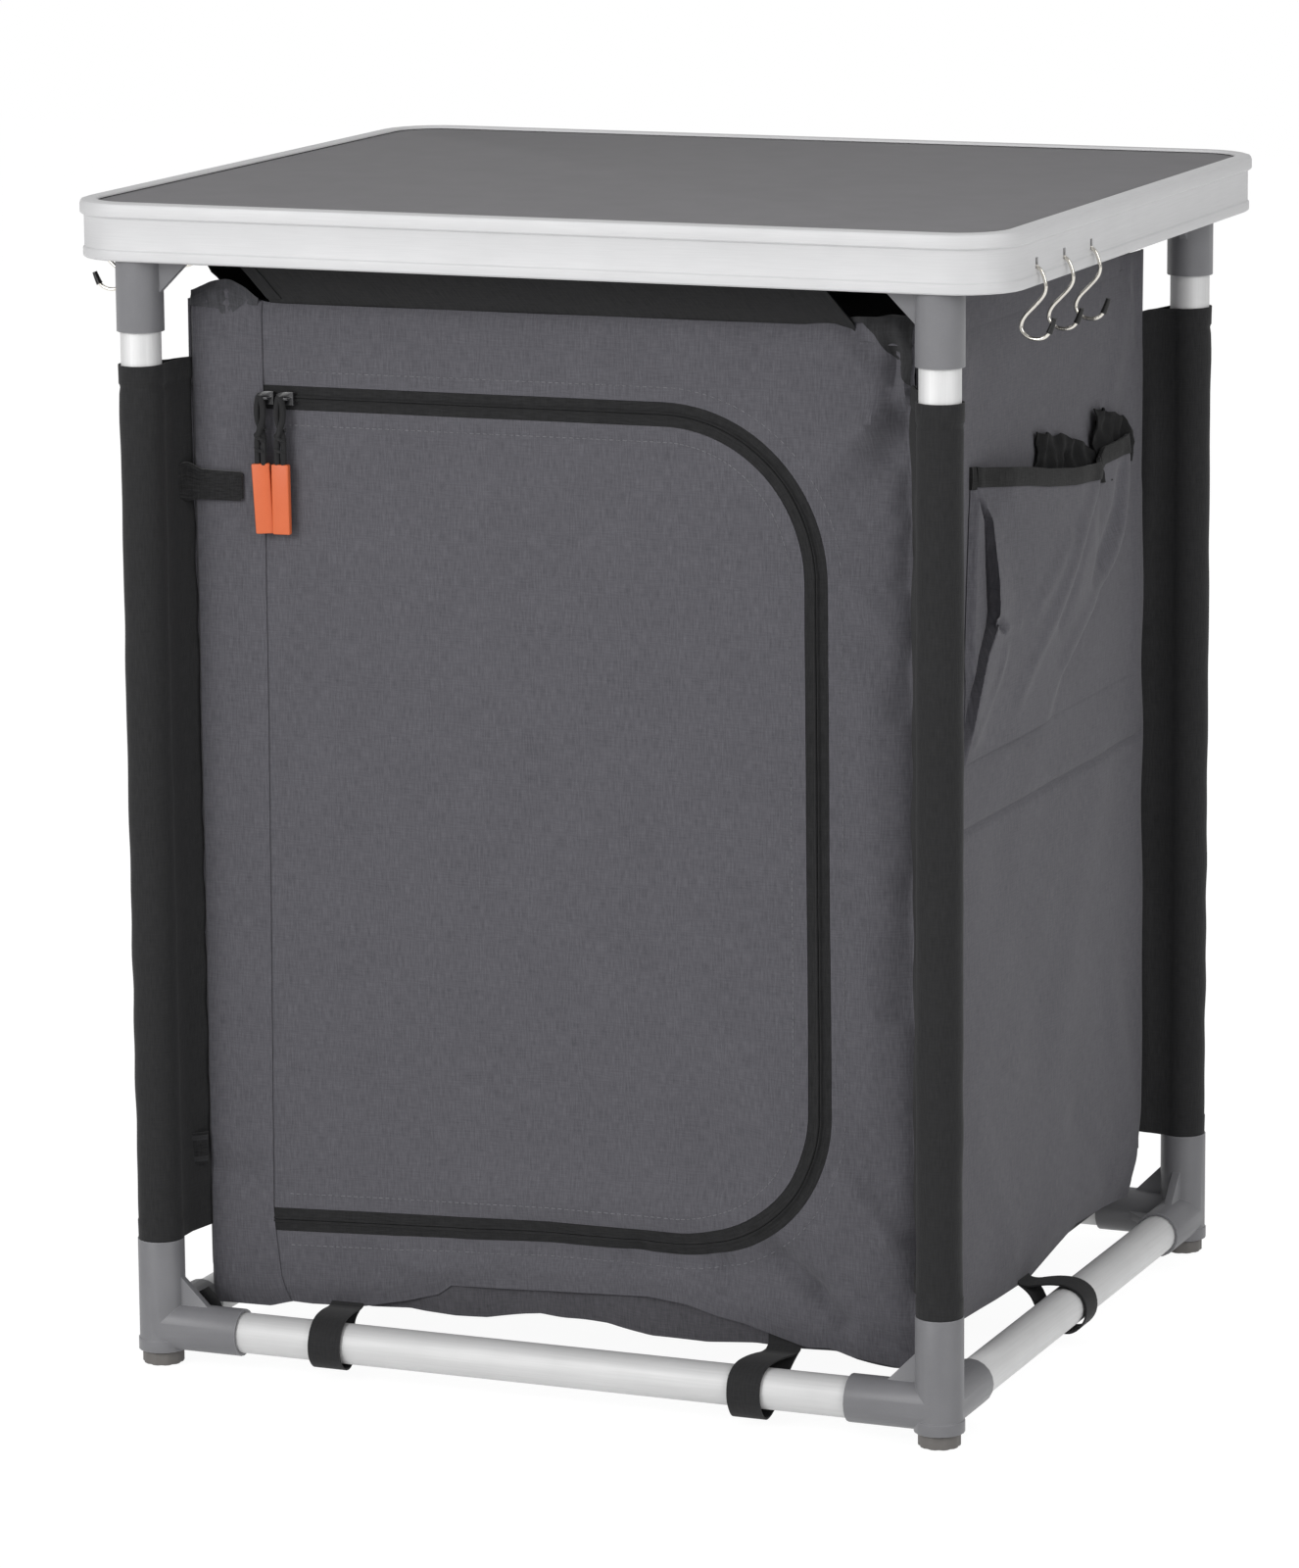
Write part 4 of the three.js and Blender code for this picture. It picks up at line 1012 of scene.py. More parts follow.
cloth("front_inner_hem", grid_cut(np.linspace(-140, 226, 110), np.linspace(0, HEM_CUT, 12)),
      inner_hem_place, inner_hem_shade_cloth, "frame", thickness=1.2)
print("height of the inner hem in mm:", HEM_CUT)

# %% [markdown]
# ## The flaps over the rails
# Above the front a black flap runs up behind the frame's top rail, over it and down its outer
# side. It is cut a little askew, so its left end is a slanted hem. The back has the same flap.
# Its path round the rail is one table of places, carried along the rail.

# %% Flaps of the front and the back
def flap_place(sign, lean):
    """From the cabinet's top edge up behind the rail, over it and down its outer side."""
    face = (FRONT_Y if sign < 0 else BACK_Y) - sign * 0.6

    def place(u, v):
        runs = [0, 10, 16, 30, 52, 60, 70, 80, 90, 100]
        path_y = np.interp(v, runs, [-3.4, -2.6, -0.6, 5.0, 14.0, 17.5, 27.0, 36.5, 42.0, 43.4])
        path_z = np.interp(v, runs, [649, 657, 662, 674.5, 694, 703, 711.2, 706, 697, 688])
        y = face + sign * path_y + sign * 0.9 * unevenness(u, v, 60, 11) * bell(v, 32, 12)
        x = u - lean * np.clip(path_z - 659, 0, 40) + settle(path_z)
        return np.stack([x, y, path_z], -1)

    return place


def flap_hem_place(x0, x1):
    """A narrow doubled hem along a slanted end of the front flap."""
    base = flap_place(-1, 0.7)

    def place(u, v):
        spots = base(x0 + (x1 - x0) * u / 10, v)
        spots[:, 1] -= 0.9
        return spots

    return place


FLAP_LEFT, FLAP_RIGHT, BACK_FLAP_SHIFT = -181, 194, -3
flap_lines = np.concatenate([np.linspace(0, 52, 16), np.linspace(55, 100, 16)])
front_lines = np.linspace(FLAP_LEFT, FLAP_RIGHT, 90)
flap_front = cloth("front_flap", grid_cut(front_lines, flap_lines), flap_place(-1, 0.7),
                   black_cloth, "frame", ["flap_front"], 1.0)
back_lines = np.linspace(FLAP_RIGHT + BACK_FLAP_SHIFT, FLAP_LEFT + BACK_FLAP_SHIFT, 90)
flap_back = cloth("back_flap", grid_cut(back_lines, flap_lines), flap_place(1, 0.1),
                  black_cloth, "frame", ["flap_back"], 1.0)
for name, x0, x1 in (("front_flap_hem_left", -181.4, -172), ("front_flap_hem_right", 185, 194.4)):
    cloth(name, grid_cut(np.linspace(0, 10, 5), flap_lines[4:24]), flap_hem_place(x0, x1),
          black_cloth, "frame", thickness=0.9)
print("flap in mm:", FLAP_RIGHT - FLAP_LEFT, "by", round(flap_lines[-1]))

# %% [markdown]
# ## Crumpled corners
# At both ends the flap's black cloth is pressed down in creases over a top corner of the front.
# On the left the piece is a dark grey, painted shade on the grey cloth under the tabletop; on the
# right a paler black runs from the flap down over the corner, partly the flap and partly painted
# shade. Each is a small outline filled with a fine net. It hangs by the front's own function, and
# small uneven swells stand it off towards the top edge.

# %% Crumpled corners of the flap
def corner_crumple(name, outline, seed, material):
    def place(x, z):
        high = smooth(CAB_HIGH - 22, CAB_HIGH, z)
        crumple = 1.3 * unevenness(x, z, 13, seed) + 0.6 * unevenness(x, z, 7, seed + 1)
        return front_place(x, z, 0.5 + (2.6 + crumple) * high)

    cut = fill_cut([outline], 2.2)
    cloth(name, cut, place, material, "frame", thickness=0.5)
    print(name, "triangles in the cut:", len(cut[1]))


# Left: dark grey painted as the shade under the tabletop.
corner_crumple(
    "front_corner_crumple_left",
    [(-LEFT_X - 0.4, 650), (-226, 647.5), (-218, 645.6), (-212, 643.5), (-206, 645), (-199, 649),
     (-190, 653), (-189, 657.5), (-LEFT_X - 0.4, 657.5)], 51, corner_shade_grey)
# Right: a paler black, partly the flap's cloth and partly painted shade over the grey corner.
corner_crumple(
    "front_corner_crumple_right",
    [(184, 655.4), (200, 654), (207, 649), (213, 641), (219, 636.5), (223, 629),
     (229.5, 624), (229.8, 657.5), (184, 657.5)], 61, shaded_cloth)

# %% [markdown]
# ## The cabinet's sides
# The side cloths hang from the side rails, and a faint seam shows where the shelf is sewn in.
# That seam is the first stroke of each side's creases. The rear lower corner is drawn in, and
# the front edge is rounded on the right, where the picture shows it.

# %% Side cloths
side_strokes = {
    "right": [
        (-150, SHELF_SEAM, 205, SHELF_SEAM, 2.4, -2.0), (-190, 560, -170, 400, 12, 1.6),
        (200, 640, 205, 600, 8, -2), (120, 330, 60, 200, 30, 1.4), (-60, 320, 10, 180, 36, -1.2),
        (150, 200, 190, 90, 16, 1.8), (80, 120, 150, 60, 14, -1.6), (-100, 150, -40, 70, 18, 1.2),
        (180, 620, 150, 560, 12, 1.5), (205, 500, 200, 380, 9, 1.2), (186, 650, 192, 612, 3, 1.2),
        (-170, 655, -120, 620, 12, 1.5)],
    "left": [
        (-150, SHELF_SEAM, 205, SHELF_SEAM, 2.6, -1.3), (-120, 330, -60, 180, 30, 1.5),
        (80, 600, 140, 470, 26, 1.4), (60, 200, 120, 80, 20, -1.5), (-160, 620, -120, 520, 14, 1.4)],
}


def side_place(side):
    sign = 1 if side == "right" else -1

    def place(y, z):
        rise = np.interp(y, [-206, -128, -60, 4, 60, 97, 150, 203, 212, 216],
                         [3, 7, 3, 0.5, 8, 12.5, 10, 6, 16, 34])
        lift = rise * (1 - smooth(CAB_LOW, 130, z))
        shelf = 1 - 0.35 * bell(z, SHELF_SEAM, 60)
        stand = 3.0 * arch(y, FRONT_Y, BACK_Y) * arch(z, CAB_LOW, CAB_HIGH) * shelf
        stand = stand + folds(side_strokes[side], y, z) + 0.35 * unevenness(y, z, 80, 5)
        stand = stand + 4.2 * (sign < 0) * bell(y, FRONT_Y, 26)
        stand = stand + 1.9 * (sign > 0) * bell(y, BACK_Y, 24)
        past_front = np.clip((FRONT_Y + 6 - y) * (sign > 0), 0, 7)
        past_rear = np.clip(y - (BACK_Y - 3), 0, 3)
        stand = stand - fall_back(7, past_front) - fall_back(3, past_rear)
        stand = stand - 3.5 * (1 - smooth(CAB_LOW, CAB_LOW + 24, z)) ** 2
        back = (y - FRONT_Y) / (BACK_Y - FRONT_Y)
        ripple = 1.6 * np.sin(z / 23 + 2.0 * np.sin(z / 61)) * back ** 6 * smooth(CAB_LOW, 300, z)
        askew = -0.8 + 3.2 * z / CAB_HIGH
        drawn_in = 11 * (1 - smooth(CAB_LOW, 104, z)) * np.clip(back, 0, 1) ** 8
        along = y + 4.6 * back + ripple - drawn_in
        return np.stack([sign * (CAB_X + stand) + settle(z), along, z + lift + askew], -1)

    return place


side_heights = np.concatenate(
    [np.linspace(CAB_LOW, 330, 66), np.linspace(334, 358, 13), np.linspace(362, CAB_HIGH, 64)])
right_lines = np.linspace(FRONT_Y + 7.5, BACK_Y - 0.6, 102)
side_right = cloth("side_cloth_right", grid_cut(right_lines, side_heights), side_place("right"),
                   grey_cloth, "frame", ["side_panel_right"])
left_lines = np.linspace(FRONT_Y + 0.8, BACK_Y - 0.6, 104)[::-1]
side_left = cloth("side_cloth_left", grid_cut(left_lines, side_heights), side_place("left"),
                  grey_cloth, "frame", ["side_panel_left"])
print("faces of the side cloths:", len(side_right.data.polygons), len(side_left.data.polygons))

# %% [markdown]
# ## Over the side rails
# On the left a black flap goes over the rail, and on the right the grey cloth itself does. Both
# are a strip of their own with a path round the rail, as at the front.

# %% Flaps of the sides
def side_flap_place(sign, lean):
    def place(u, v):
        runs = [0, 20, 44, 54, 64, 74, 84, 94]
        out = np.interp(v, runs, [-0.4, 1.0, 12.0, 14.0, 23.5, 33.0, 38.0, 39.2])
        z = np.interp(v, runs, [648, 668, 692, 703, 711.2, 706, 697, 688])
        wave = 0.8 * unevenness(u, v, 50, 21) * bell(v, 18, 14)
        along = lean * np.interp(z, [656, 660, 671.5, 680, 692], [1, 5.5, 22, 24, 20])
        return np.stack([sign * (CAB_X + out + wave), u + along, z], -1)

    return place


side_flap_lines = np.concatenate([np.linspace(0, 44, 14), np.linspace(47, 94, 16)])
cloth("side_flap_right", grid_cut(np.linspace(-165, 165, 70), side_flap_lines), side_flap_place(1, 0),
      grey_cloth, "frame", ["side_panel_right"], 1.2)
cloth("side_flap_left", grid_cut(np.linspace(165, -160, 70), side_flap_lines), side_flap_place(-1, -1),
      black_cloth, "frame", ["side_panel_left"], 1.0)
print("height of a side flap's cut in mm:", round(side_flap_lines[-1]))

# %% [markdown]
# ## The back
# The back can't be seen in the picture. It is made like the front, without a door: a grid with
# a few wide creases, the seam of the shelf, and lower corners that are drawn up.

# %% Back cloth
back_strokes = [
    (-150, 520, -60, 330, 34, 1.6), (60, 600, 150, 420, 30, 1.4), (-40, 260, 90, 130, 36, 1.6),
    (-190, 200, -150, 80, 18, -1.4), (-215, SHELF_SEAM, 215, SHELF_SEAM, 2.6, -1.2)]


def back_place(x, z):
    across = arch(x, -CAB_X, CAB_X)
    stand = 3.0 * across * arch(z, CAB_LOW, CAB_HIGH)
    stand = stand + folds(back_strokes, x, z) + 0.35 * unevenness(x, z, 80, 8)
    stand = stand - fall_back(6, np.clip(np.abs(x) - (CAB_X - 6), 0, 6))
    lift = (5 * across + 34 * bell(np.abs(x), CAB_X, 16)) * (1 - smooth(CAB_LOW, 150, z))
    return np.stack([x + settle(z), BACK_Y + 3.4 + stand * 0.7, z + lift], -1)


back_cut = grid_cut(np.linspace(CAB_X, -CAB_X, 96), np.linspace(CAB_LOW, CAB_HIGH, 126))
back_cloth = cloth("back_cloth", back_cut, back_place, grey_cloth, "frame", ["back_panel"])
print("creases in the back:", len(back_strokes))

# %% [markdown]
# ## The boards inside
# The floor and the shelf are stiff boards covered in black cloth. A board is a cube scaled to
# the CAD part's own box, with bevelled edges. It is set back a little from the front, so that
# the creased front never touches it, and the floor board lies a little higher than in the CAD.

# %% Floor and shelf boards
def add_board(name, node, raised):
    """A cloth-covered board with rounded edges, raised a little and set back from the front."""
    low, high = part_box(node)
    low.z, high.z = low.z + raised * MM, high.z + raised * MM
    low.x, high.x = low.x + 2 * MM, high.x - 2 * MM
    low.y += 9 * MM
    bpy.ops.mesh.primitive_cube_add(size=1, location=(low + high) / 2, scale=high - low)
    board = bpy.context.object
    board.name = name
    bpy.ops.object.transform_apply(location=True, rotation=True, scale=True)
    bpy.ops.object.mode_set(mode="EDIT")
    bpy.ops.mesh.select_all(action="SELECT")
    bpy.ops.mesh.bevel(offset=1.8 * MM, segments=3, affect="EDGES")
    bpy.ops.object.mode_set(mode="OBJECT")
    bpy.ops.object.shade_smooth_by_angle(angle=math.radians(40))
    board.data.materials.append(board_cloth)
    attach(board, "frame")
    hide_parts(node)
    print(name, "in mm:", [round(side / MM) for side in high - low])


add_board("floor_board_covered", "floor_board", 6)
add_board("shelf_board_covered", "shelf_board", 0)

# %% [markdown]
# ## The top cloth
# Under the tabletop a sheet closes the cabinet. It sags a little between its four edges, which
# a product of two cosines gives in one line.

# %% Top cloth
def top_place(x, y):
    sag = np.cos(np.pi * x / (2 * CAB_X)) * np.cos(np.pi * (y - 5) / (BACK_Y - FRONT_Y))
    return np.stack([x, y, 649.4 - 5 * sag + 0.8 * unevenness(x, y, 90, 17) * sag], -1)


top_cut = grid_cut(np.linspace(-228, 228, 70), np.linspace(FRONT_Y + 2.6, BACK_Y - 2.6, 64))
top_cloth = cloth("top_cloth", top_cut, top_place, grey_cloth, "frame", ["top_panel"], 1.2)
print("faces of the top cloth:", len(top_cloth.data.polygons))

# %% [markdown]
# ## Sleeves on the legs
# A black sleeve is one strip of cloth that goes from the cabinet's corner to the leg, round it
# and back, so that its two layers make a wing. It starts from its plan line, the way it would
# be seen from above. A tube with a sheet stuck to it would be simpler, but the seam between
# them would show, and the real sleeve has none there.

# %% Plan line of a sleeve
LEG_X, LEG_Y, TUBE = 255, 236, 12.5
SLEEVE_CUT, SLEEVE_TOP = 553, 621.5


def run_lengths(line):
    """How far each point lies from the start, measured along the line."""
    return np.concatenate([[0], np.cumsum(np.linalg.norm(np.diff(line, axis=0), axis=1))])


def sleeve_plan(corner, centre, wrap, gap):
    """The plan line from the corner round the leg and back, with a point every 2 mm or so."""
    corner, centre = np.array(corner, float), np.array(centre, float)
    run = corner - centre
    length = np.linalg.norm(run)
    way, side = run / length, np.array([-run[1], run[0]]) / length
    start = math.asin(gap / wrap)
    round_leg = np.linspace(start, 2 * math.pi - start, 40)
    near_corner, far_corner = corner + side * gap * 0.6, corner - side * gap * 0.6
    throat = centre + way * (wrap * math.cos(start) + 7)
    points = even_line([near_corner, throat + side * (gap + 1.6)], 2.5)
    points += [centre + wrap * (way * math.cos(a) + side * math.sin(a)) for a in round_leg[3:-3]]
    points += even_line([throat - side * (gap + 1.6), far_corner], 2.5)
    return np.array(points), way


print("length of a sleeve's cut in mm:", SLEEVE_CUT)

# %% [markdown]
# ## Hanging the sleeves
# The plan line is carried up the leg, with a doubled hem at each end. The hems lie a little
# higher or lower on the wing than on the leg, the wing is more creased than the part that grips
# the tube, and near the cabinet the sleeve leans with it.

# %% Hang a sleeve
SLEEVE_CORNERS = {"front_left": (-233.4, -202.6), "front_right": (228.5, -202.5),
                  "back_left": (-228.5, 216.5), "back_right": (227.5, 219.5)}
sleeve_lines = np.concatenate(
    [[0, 6, 11.6, 12.4], np.linspace(20, 531, 74), [535, 537.5, 539, 540.6, 541.4, 547, SLEEVE_CUT]])


def add_sleeve(end, side, strokes, top_line, low_line):
    leg = np.array([LEG_X if side == "right" else -LEG_X, LEG_Y if end == "back" else -LEG_Y])
    plan, way = sleeve_plan(SLEEVE_CORNERS[f"{end}_{side}"], leg, TUBE + 1.3, 1.3)
    runs = run_lengths(plan)
    before = np.gradient(plan, axis=0)
    out = np.stack([before[:, 1], -before[:, 0]], 1)
    out /= np.linalg.norm(out, axis=1)[:, None]
    half = len(plan) // 2
    if np.sum(out[half] * (plan[half] - leg)) < 0:
        out = -out
    reach = (plan - leg) @ way
    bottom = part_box(f"sleeve_{end}_{side}")[0].z / MM

    def place(u, v):
        index = np.searchsorted(runs, u - 1e-6).clip(0, len(runs) - 1)
        away = reach[index]
        z_low = bottom + np.interp(away, *low_line)
        z_high = SLEEVE_TOP + np.interp(away, *top_line)
        z = z_low + (z_high - z_low) * (v / SLEEVE_CUT)
        wing = smooth(10, 26, away)
        press = 0.35 * unevenness(runs[index], z, 46, 31 + len(end) + len(side)) * (1 + 2.4 * wing)
        press = press + folds(strokes, away * np.where(index < len(runs) / 2, 1, -1), z)
        hem = 0.45 * ((z > z_high - 12) | (z < z_low + 12)) - 0.5 * bell(z, z_high - 14, 1.6)
        spot = plan[index] + out[index] * (press + hem)[:, None]
        return np.stack([spot[:, 0] + settle(z) * smooth(16, 36, away), spot[:, 1], z], -1)

    flat, faces = grid_cut(runs, sleeve_lines)
    cross = np.cross(np.append(plan[half + 1] - plan[half], 0), (0, 0, 1))
    if cross[:2] @ out[half] < 0:
        faces = faces[:, ::-1]
    cloth(f"sleeve_cloth_{end}_{side}", (flat, faces), place, black_cloth, "frame",
          [f"sleeve_{end}_{side}"], 0.8)
    print("sleeve", end, side, "goes round in mm:", round(runs[-1]))


print("height lines of a sleeve:", len(sleeve_lines))

# %% [markdown]
# ## Creases of the sleeves
# Each sleeve gets its own creases, as strokes over the distance from the leg and the height.
# A negative distance means the far layer of the wing. Two tables say how much higher its ends
# lie at a distance from the leg.

# %% Four sleeves
level_top = ([-14, 14, 26, 38], [0, 0.6, 1.2, 1.4])
level_low = ([-14, 14, 38], [0, 0, 3])
add_sleeve(
    "front", "left",
    [(26, 600, 30, 420, 5, 1.6), (22, 300, 30, 180, 6, -1.6),
     (30, 160, 20, 90, 5, 1.8), (-26, 560, -24, 300, 6, 1.2)],
    level_top, level_low)
add_sleeve("front", "right", [(26, 560, 22, 300, 6, 1.2)], ([-14, 14, 38], [0, 0, 4]), level_low)
add_sleeve("back", "left", [(24, 560, 28, 330, 6, 1.4)], level_top, level_low)
add_sleeve(
    "back", "right",
    [(24, 560, 30, 430, 6, 1.8), (-28, 560, -24, 420, 6, 1.8),
     (-24, 330, -28, 200, 6, -1.4), (28, 240, 22, 120, 6, 1.4)],
    ([-14, 14, 26, 38], [0, -0.6, -2.2, -6.5]), level_low)

# %% [markdown]
# ## Straps
# Six webbing straps tie the cabinet's hem to the bottom rails. Each is a loose loop that hangs
# a little below its rail, with a tail that runs back and sideways up to the hem. Webbing is a
# flat band carried along a soft line, with the direction of its width given at each point.

# %% Bands and soft lines
def band(name, line, ways, width, thickness, material, body, nodes=(), swell=1.0):
    """A band along a line, with its width direction at each point; swell is its share of the width."""
    line, ways = np.asarray(line, float), np.asarray(ways, float)
    ways = ways / np.linalg.norm(ways, axis=1)[:, None] * np.broadcast_to(swell, len(line))[:, None]
    runs = run_lengths(line)

    def place(u, v):
        index = np.searchsorted(runs, v - 1e-6).clip(0, len(runs) - 1)
        return line[index] + ways[index] * u[:, None]

    cloth(name, grid_cut(np.linspace(-width / 2, width / 2, 6), runs), place, material, body, nodes,
          thickness)


def smooth_line(points, count):
    """A soft line through points, by repeated corner cutting."""
    line = np.array(points, float)
    for _ in range(3):
        a, b = line[:-1], line[1:]
        cut = np.empty((2 * len(a), line.shape[1]))
        cut[0::2], cut[1::2] = 0.75 * a + 0.25 * b, 0.25 * a + 0.75 * b
        line = np.concatenate([line[:1], cut, line[-1:]])
    runs = run_lengths(line)
    at = np.linspace(0, runs[-1], count)
    return np.stack([np.interp(at, runs, line[:, k]) for k in range(line.shape[1])], 1)


softened = run_lengths(smooth_line([(0, 0), (1, 0), (1, 1)], 20))[-1]
print("a corner of 2 mm is this long when softened:", round(softened, 2))

# %% [markdown]
# ## Straps round the bottom rails
# All six straps follow the same line round their rail and differ in how far the hem is from it,
# how low the loop hangs and how far its tail runs sideways. The line is written once, as seen
# from the end of the rail, and two loops place it on the four rails.

# %% Bottom straps
LOW_Z, WEBBING = 23.5, 21
HEM_FRONT, HEM_BACK, HEM_SIDE = LEG_Y - 200.2, LEG_Y - 213.5, 28.5


def strap_line(hem, drop, shift):
    """Out from the hem over the rail, round it and back, as (outwards, up, sideways) from the rail."""
    reach = TUBE + 1.3
    return smooth_line([
        (-hem, 25, shift), (-hem, 19, shift), (-hem + 1.5, 14.4, shift),
        (-hem * 0.72, 13.4, shift * 0.9), (-hem * 0.5, 14.6, shift * 0.7),
        (-6, reach + 1.4, shift * 0.4), (4, reach + 0.2, shift * 0.15),
        (reach - 2, 8.5, 0), (reach + 0.6, 0, 0), (reach - 0.8, -8, 0),
        (6, -reach - drop * 0.8, 0), (-3, -reach - drop, 0), (-12, -8 - drop * 0.5, shift * 0.3),
        (-reach - 2, 2, shift * 0.7), (-reach - 5, 11, shift),
        (-hem - 1.5, 18, shift), (-hem - 1.6, 26, shift)], 60)


for end, sign, hem in (("front", -1, HEM_FRONT), ("back", 1, HEM_BACK)):
    for side, drop, middle, shift in (("left", 1.5, -139, -5), ("right", 4.5, 136, 8)):
        line = strap_line(hem, drop, shift)
        spots = np.stack([middle + line[:, 2], sign * (LEG_Y + line[:, 0]), LOW_Z + line[:, 1]], 1)
        ways = np.tile([-sign * 1.0, 0, 0], (len(spots), 1))
        band(f"strap_band_{end}_{side}", spots, ways, WEBBING, 1.1, black_cloth, "frame",
             [f"strap_{end}_{side}"])
for side, sign in (("left", -1), ("right", 1)):
    line = strap_line(HEM_SIDE, 2.0, -10)
    spots = np.stack([sign * (LEG_X + line[:, 0]), line[:, 2] + 4, LOW_Z + line[:, 1]], 1)
    ways = np.tile([0, sign * 1.0, 0], (len(spots), 1))
    band(f"strap_band_{side}", spots, ways, WEBBING, 1.1, black_cloth, "frame", [f"strap_{side}"])

# %% [markdown]
# ## Strap and patch at the left leg
# A fuzzy strap goes from the front left sleeve across to the cabinet, a little wider where it
# bends. Lower down a patch of the same stuff with two narrow hems lies on the wing, and below
# it a strap's loose end sticks out. All of them are bands again.

# %% Upper strap and wing patch
upper = smooth_line([(-251, -225), (-247, -224.4), (-243, -221), (-237, -213.5), (-230, -211.6),
                     (-216, -210.9), (-206, -210.6), (-202, -210.2)], 44)
height = np.interp(upper[:, 0], [-251, -238, -229, -202], [547.5, 548.4, 546.4, 546])
spots = np.column_stack([upper, height])
swell = np.interp(upper[:, 0], [-251, -249, -236, -229, -203.4, -202], [0.7, 1.0, 1.3, 1.02, 0.98, 0.86])
ways = np.tile([0, 0, 1], (len(spots), 1))
band("upper_left_strap", spots[::-1], ways, 18, 2.8, fuzzy_black, "frame", swell=swell[::-1])

PATCH_Z, PATCH_WIDTH, PATCH_HEM = 132.0, 20, 3.2
patch = smooth_line([(-256, -222.2), (-248, -222.4), (-240, -217.6), (-233, -211.6)], 20)
ways = np.tile([0, 0, 1], (len(patch), 1))
for name, height, width, ahead, material in (
        ("wing_patch", PATCH_Z, PATCH_WIDTH, 0, fuzzy_black),
        ("wing_patch_hem_low", PATCH_Z - 6.6, PATCH_HEM, 0.5, shaded_cloth),
        ("wing_patch_hem_high", PATCH_Z + 6.8, PATCH_HEM, 0.5, shaded_cloth)):
    spots = np.stack([patch[:, 0], patch[:, 1] - ahead, np.full(len(patch), height)], 1)
    band(name, spots[::-1], ways, width, 0.9, material, "frame")

loose_end = smooth_line([(-224.5, -222, 27), (-225.5, -223, 32), (-229, -224, 38), (-234, -225, 44)], 14)
ways = np.tile([1, 0, 0.6], (len(loose_end), 1))
band("low_left_strap_end", loose_end, ways, 11, 1.2, black_cloth, "frame")
print("length of the loose end in mm:", round(run_lengths(loose_end)[-1]))

# %% [markdown]
# ## The organiser
# Two gathered pouches are sewn to the right side. The left edge has a folded pleat, and soft
# folds run down from the mouths to the bottom seam. It is one sheet, and a function says how
# far it stands off the side cloth at each place. A cloth simulation would give folds too, but
# not these ones, so their lines are written down as they were measured.

# %% Folds of the organiser
ORG_LOW, ORG_CUT = 385, 175
organiser_ridges = [
    ([(84, 534), (76, 526), (50, 509), (28, 491), (6, 466), (-15, 443), (-40, 414)], 8.5, 3.2),
    ([(90, 520), (62, 503), (38, 480), (14, 450)], 6, -2.0),
    ([(157, 532), (152, 508), (133, 484), (103, 464), (66, 446), (36, 425)], 8.5, 3.4),
    ([(141, 524), (134, 506), (110, 484), (80, 466)], 6.5, -2.2),
    ([(123, 476), (97, 444), (75, 397)], 9, 1.0),
    ([(16, 500), (-31, 469)], 7, 1.4),
    ([(-100, 475), (-84, 463)], 2.2, -6.0),
    ([(-84, 462), (-61, 461)], 4, 1.8),
    ([(-78, 446), (-82, 432), (-98, 413), (-118, 398)], 5, 2.2),
]


def ridges(lines, a, b):
    """Ridges and valleys along bent lines, each with its width and height."""
    total = np.zeros(np.broadcast(a, b).shape)
    for points, width, height in lines:
        nearest = np.full(total.shape, 1e9)
        soft_line = smooth_line(points, 4 * len(points))
        for first, second in zip(soft_line, soft_line[1:]):
            run = second - first
            held = np.clip(((a - first[0]) * run[0] + (b - first[1]) * run[1]) / (run @ run), 0, 1)
            away = np.hypot(a - first[0] - held * run[0], b - first[1] - held * run[1])
            nearest = np.minimum(nearest, away)
        total = total + height * bell(nearest, 0, width)
    return total


print("folds of the organiser:", len(organiser_ridges))

# %% [markdown]
# ## Edges of the organiser
# Two more tables hold what was measured along its edges: how far the fold at the left stands
# out at each height, with its place, and how high the mouths are along the side.

# %% Crest and mouths
def crest(z):
    """Where the pouch's folded left edge stands, and how far out."""
    heights = [385, 397, 409, 430, 451, 466, 475, 494, 530, 547]
    return (np.interp(z, heights, [-134, -133, -129.7, -123, -112.5, -101.5, -98, -99.7, -101, -110]),
            np.interp(z, heights, [1.5, 4.4, 7, 9.4, 10.6, 13, 13.5, 14, 9.4, 3.4]))


def mouth_height(y):
    return np.interp(y, [-118, -104, -48, -20, 28, 70, 96, 101, 108, 130, 160, 183, 190],
                     [563.5, 562, 554.6, 549.6, 543.4, 540, 538.5, 540.5, 544.6, 545, 545.4, 545, 544])


print("the crest stands out at most by mm:", max(crest(np.arange(ORG_LOW, 548))[1]))

# %% [markdown]
# ## How the organiser stands off
# From the left, the sheet first climbs the narrow pleat, then turns over the crest of the fold,
# then lies on the gathered pouches, whose crown is highest in the middle, and at last comes back
# to the side along a slanting limit. Under the crest the flank is drawn in, as a fold does.

# %% Organiser sheet
side_right_place = side_place("right")


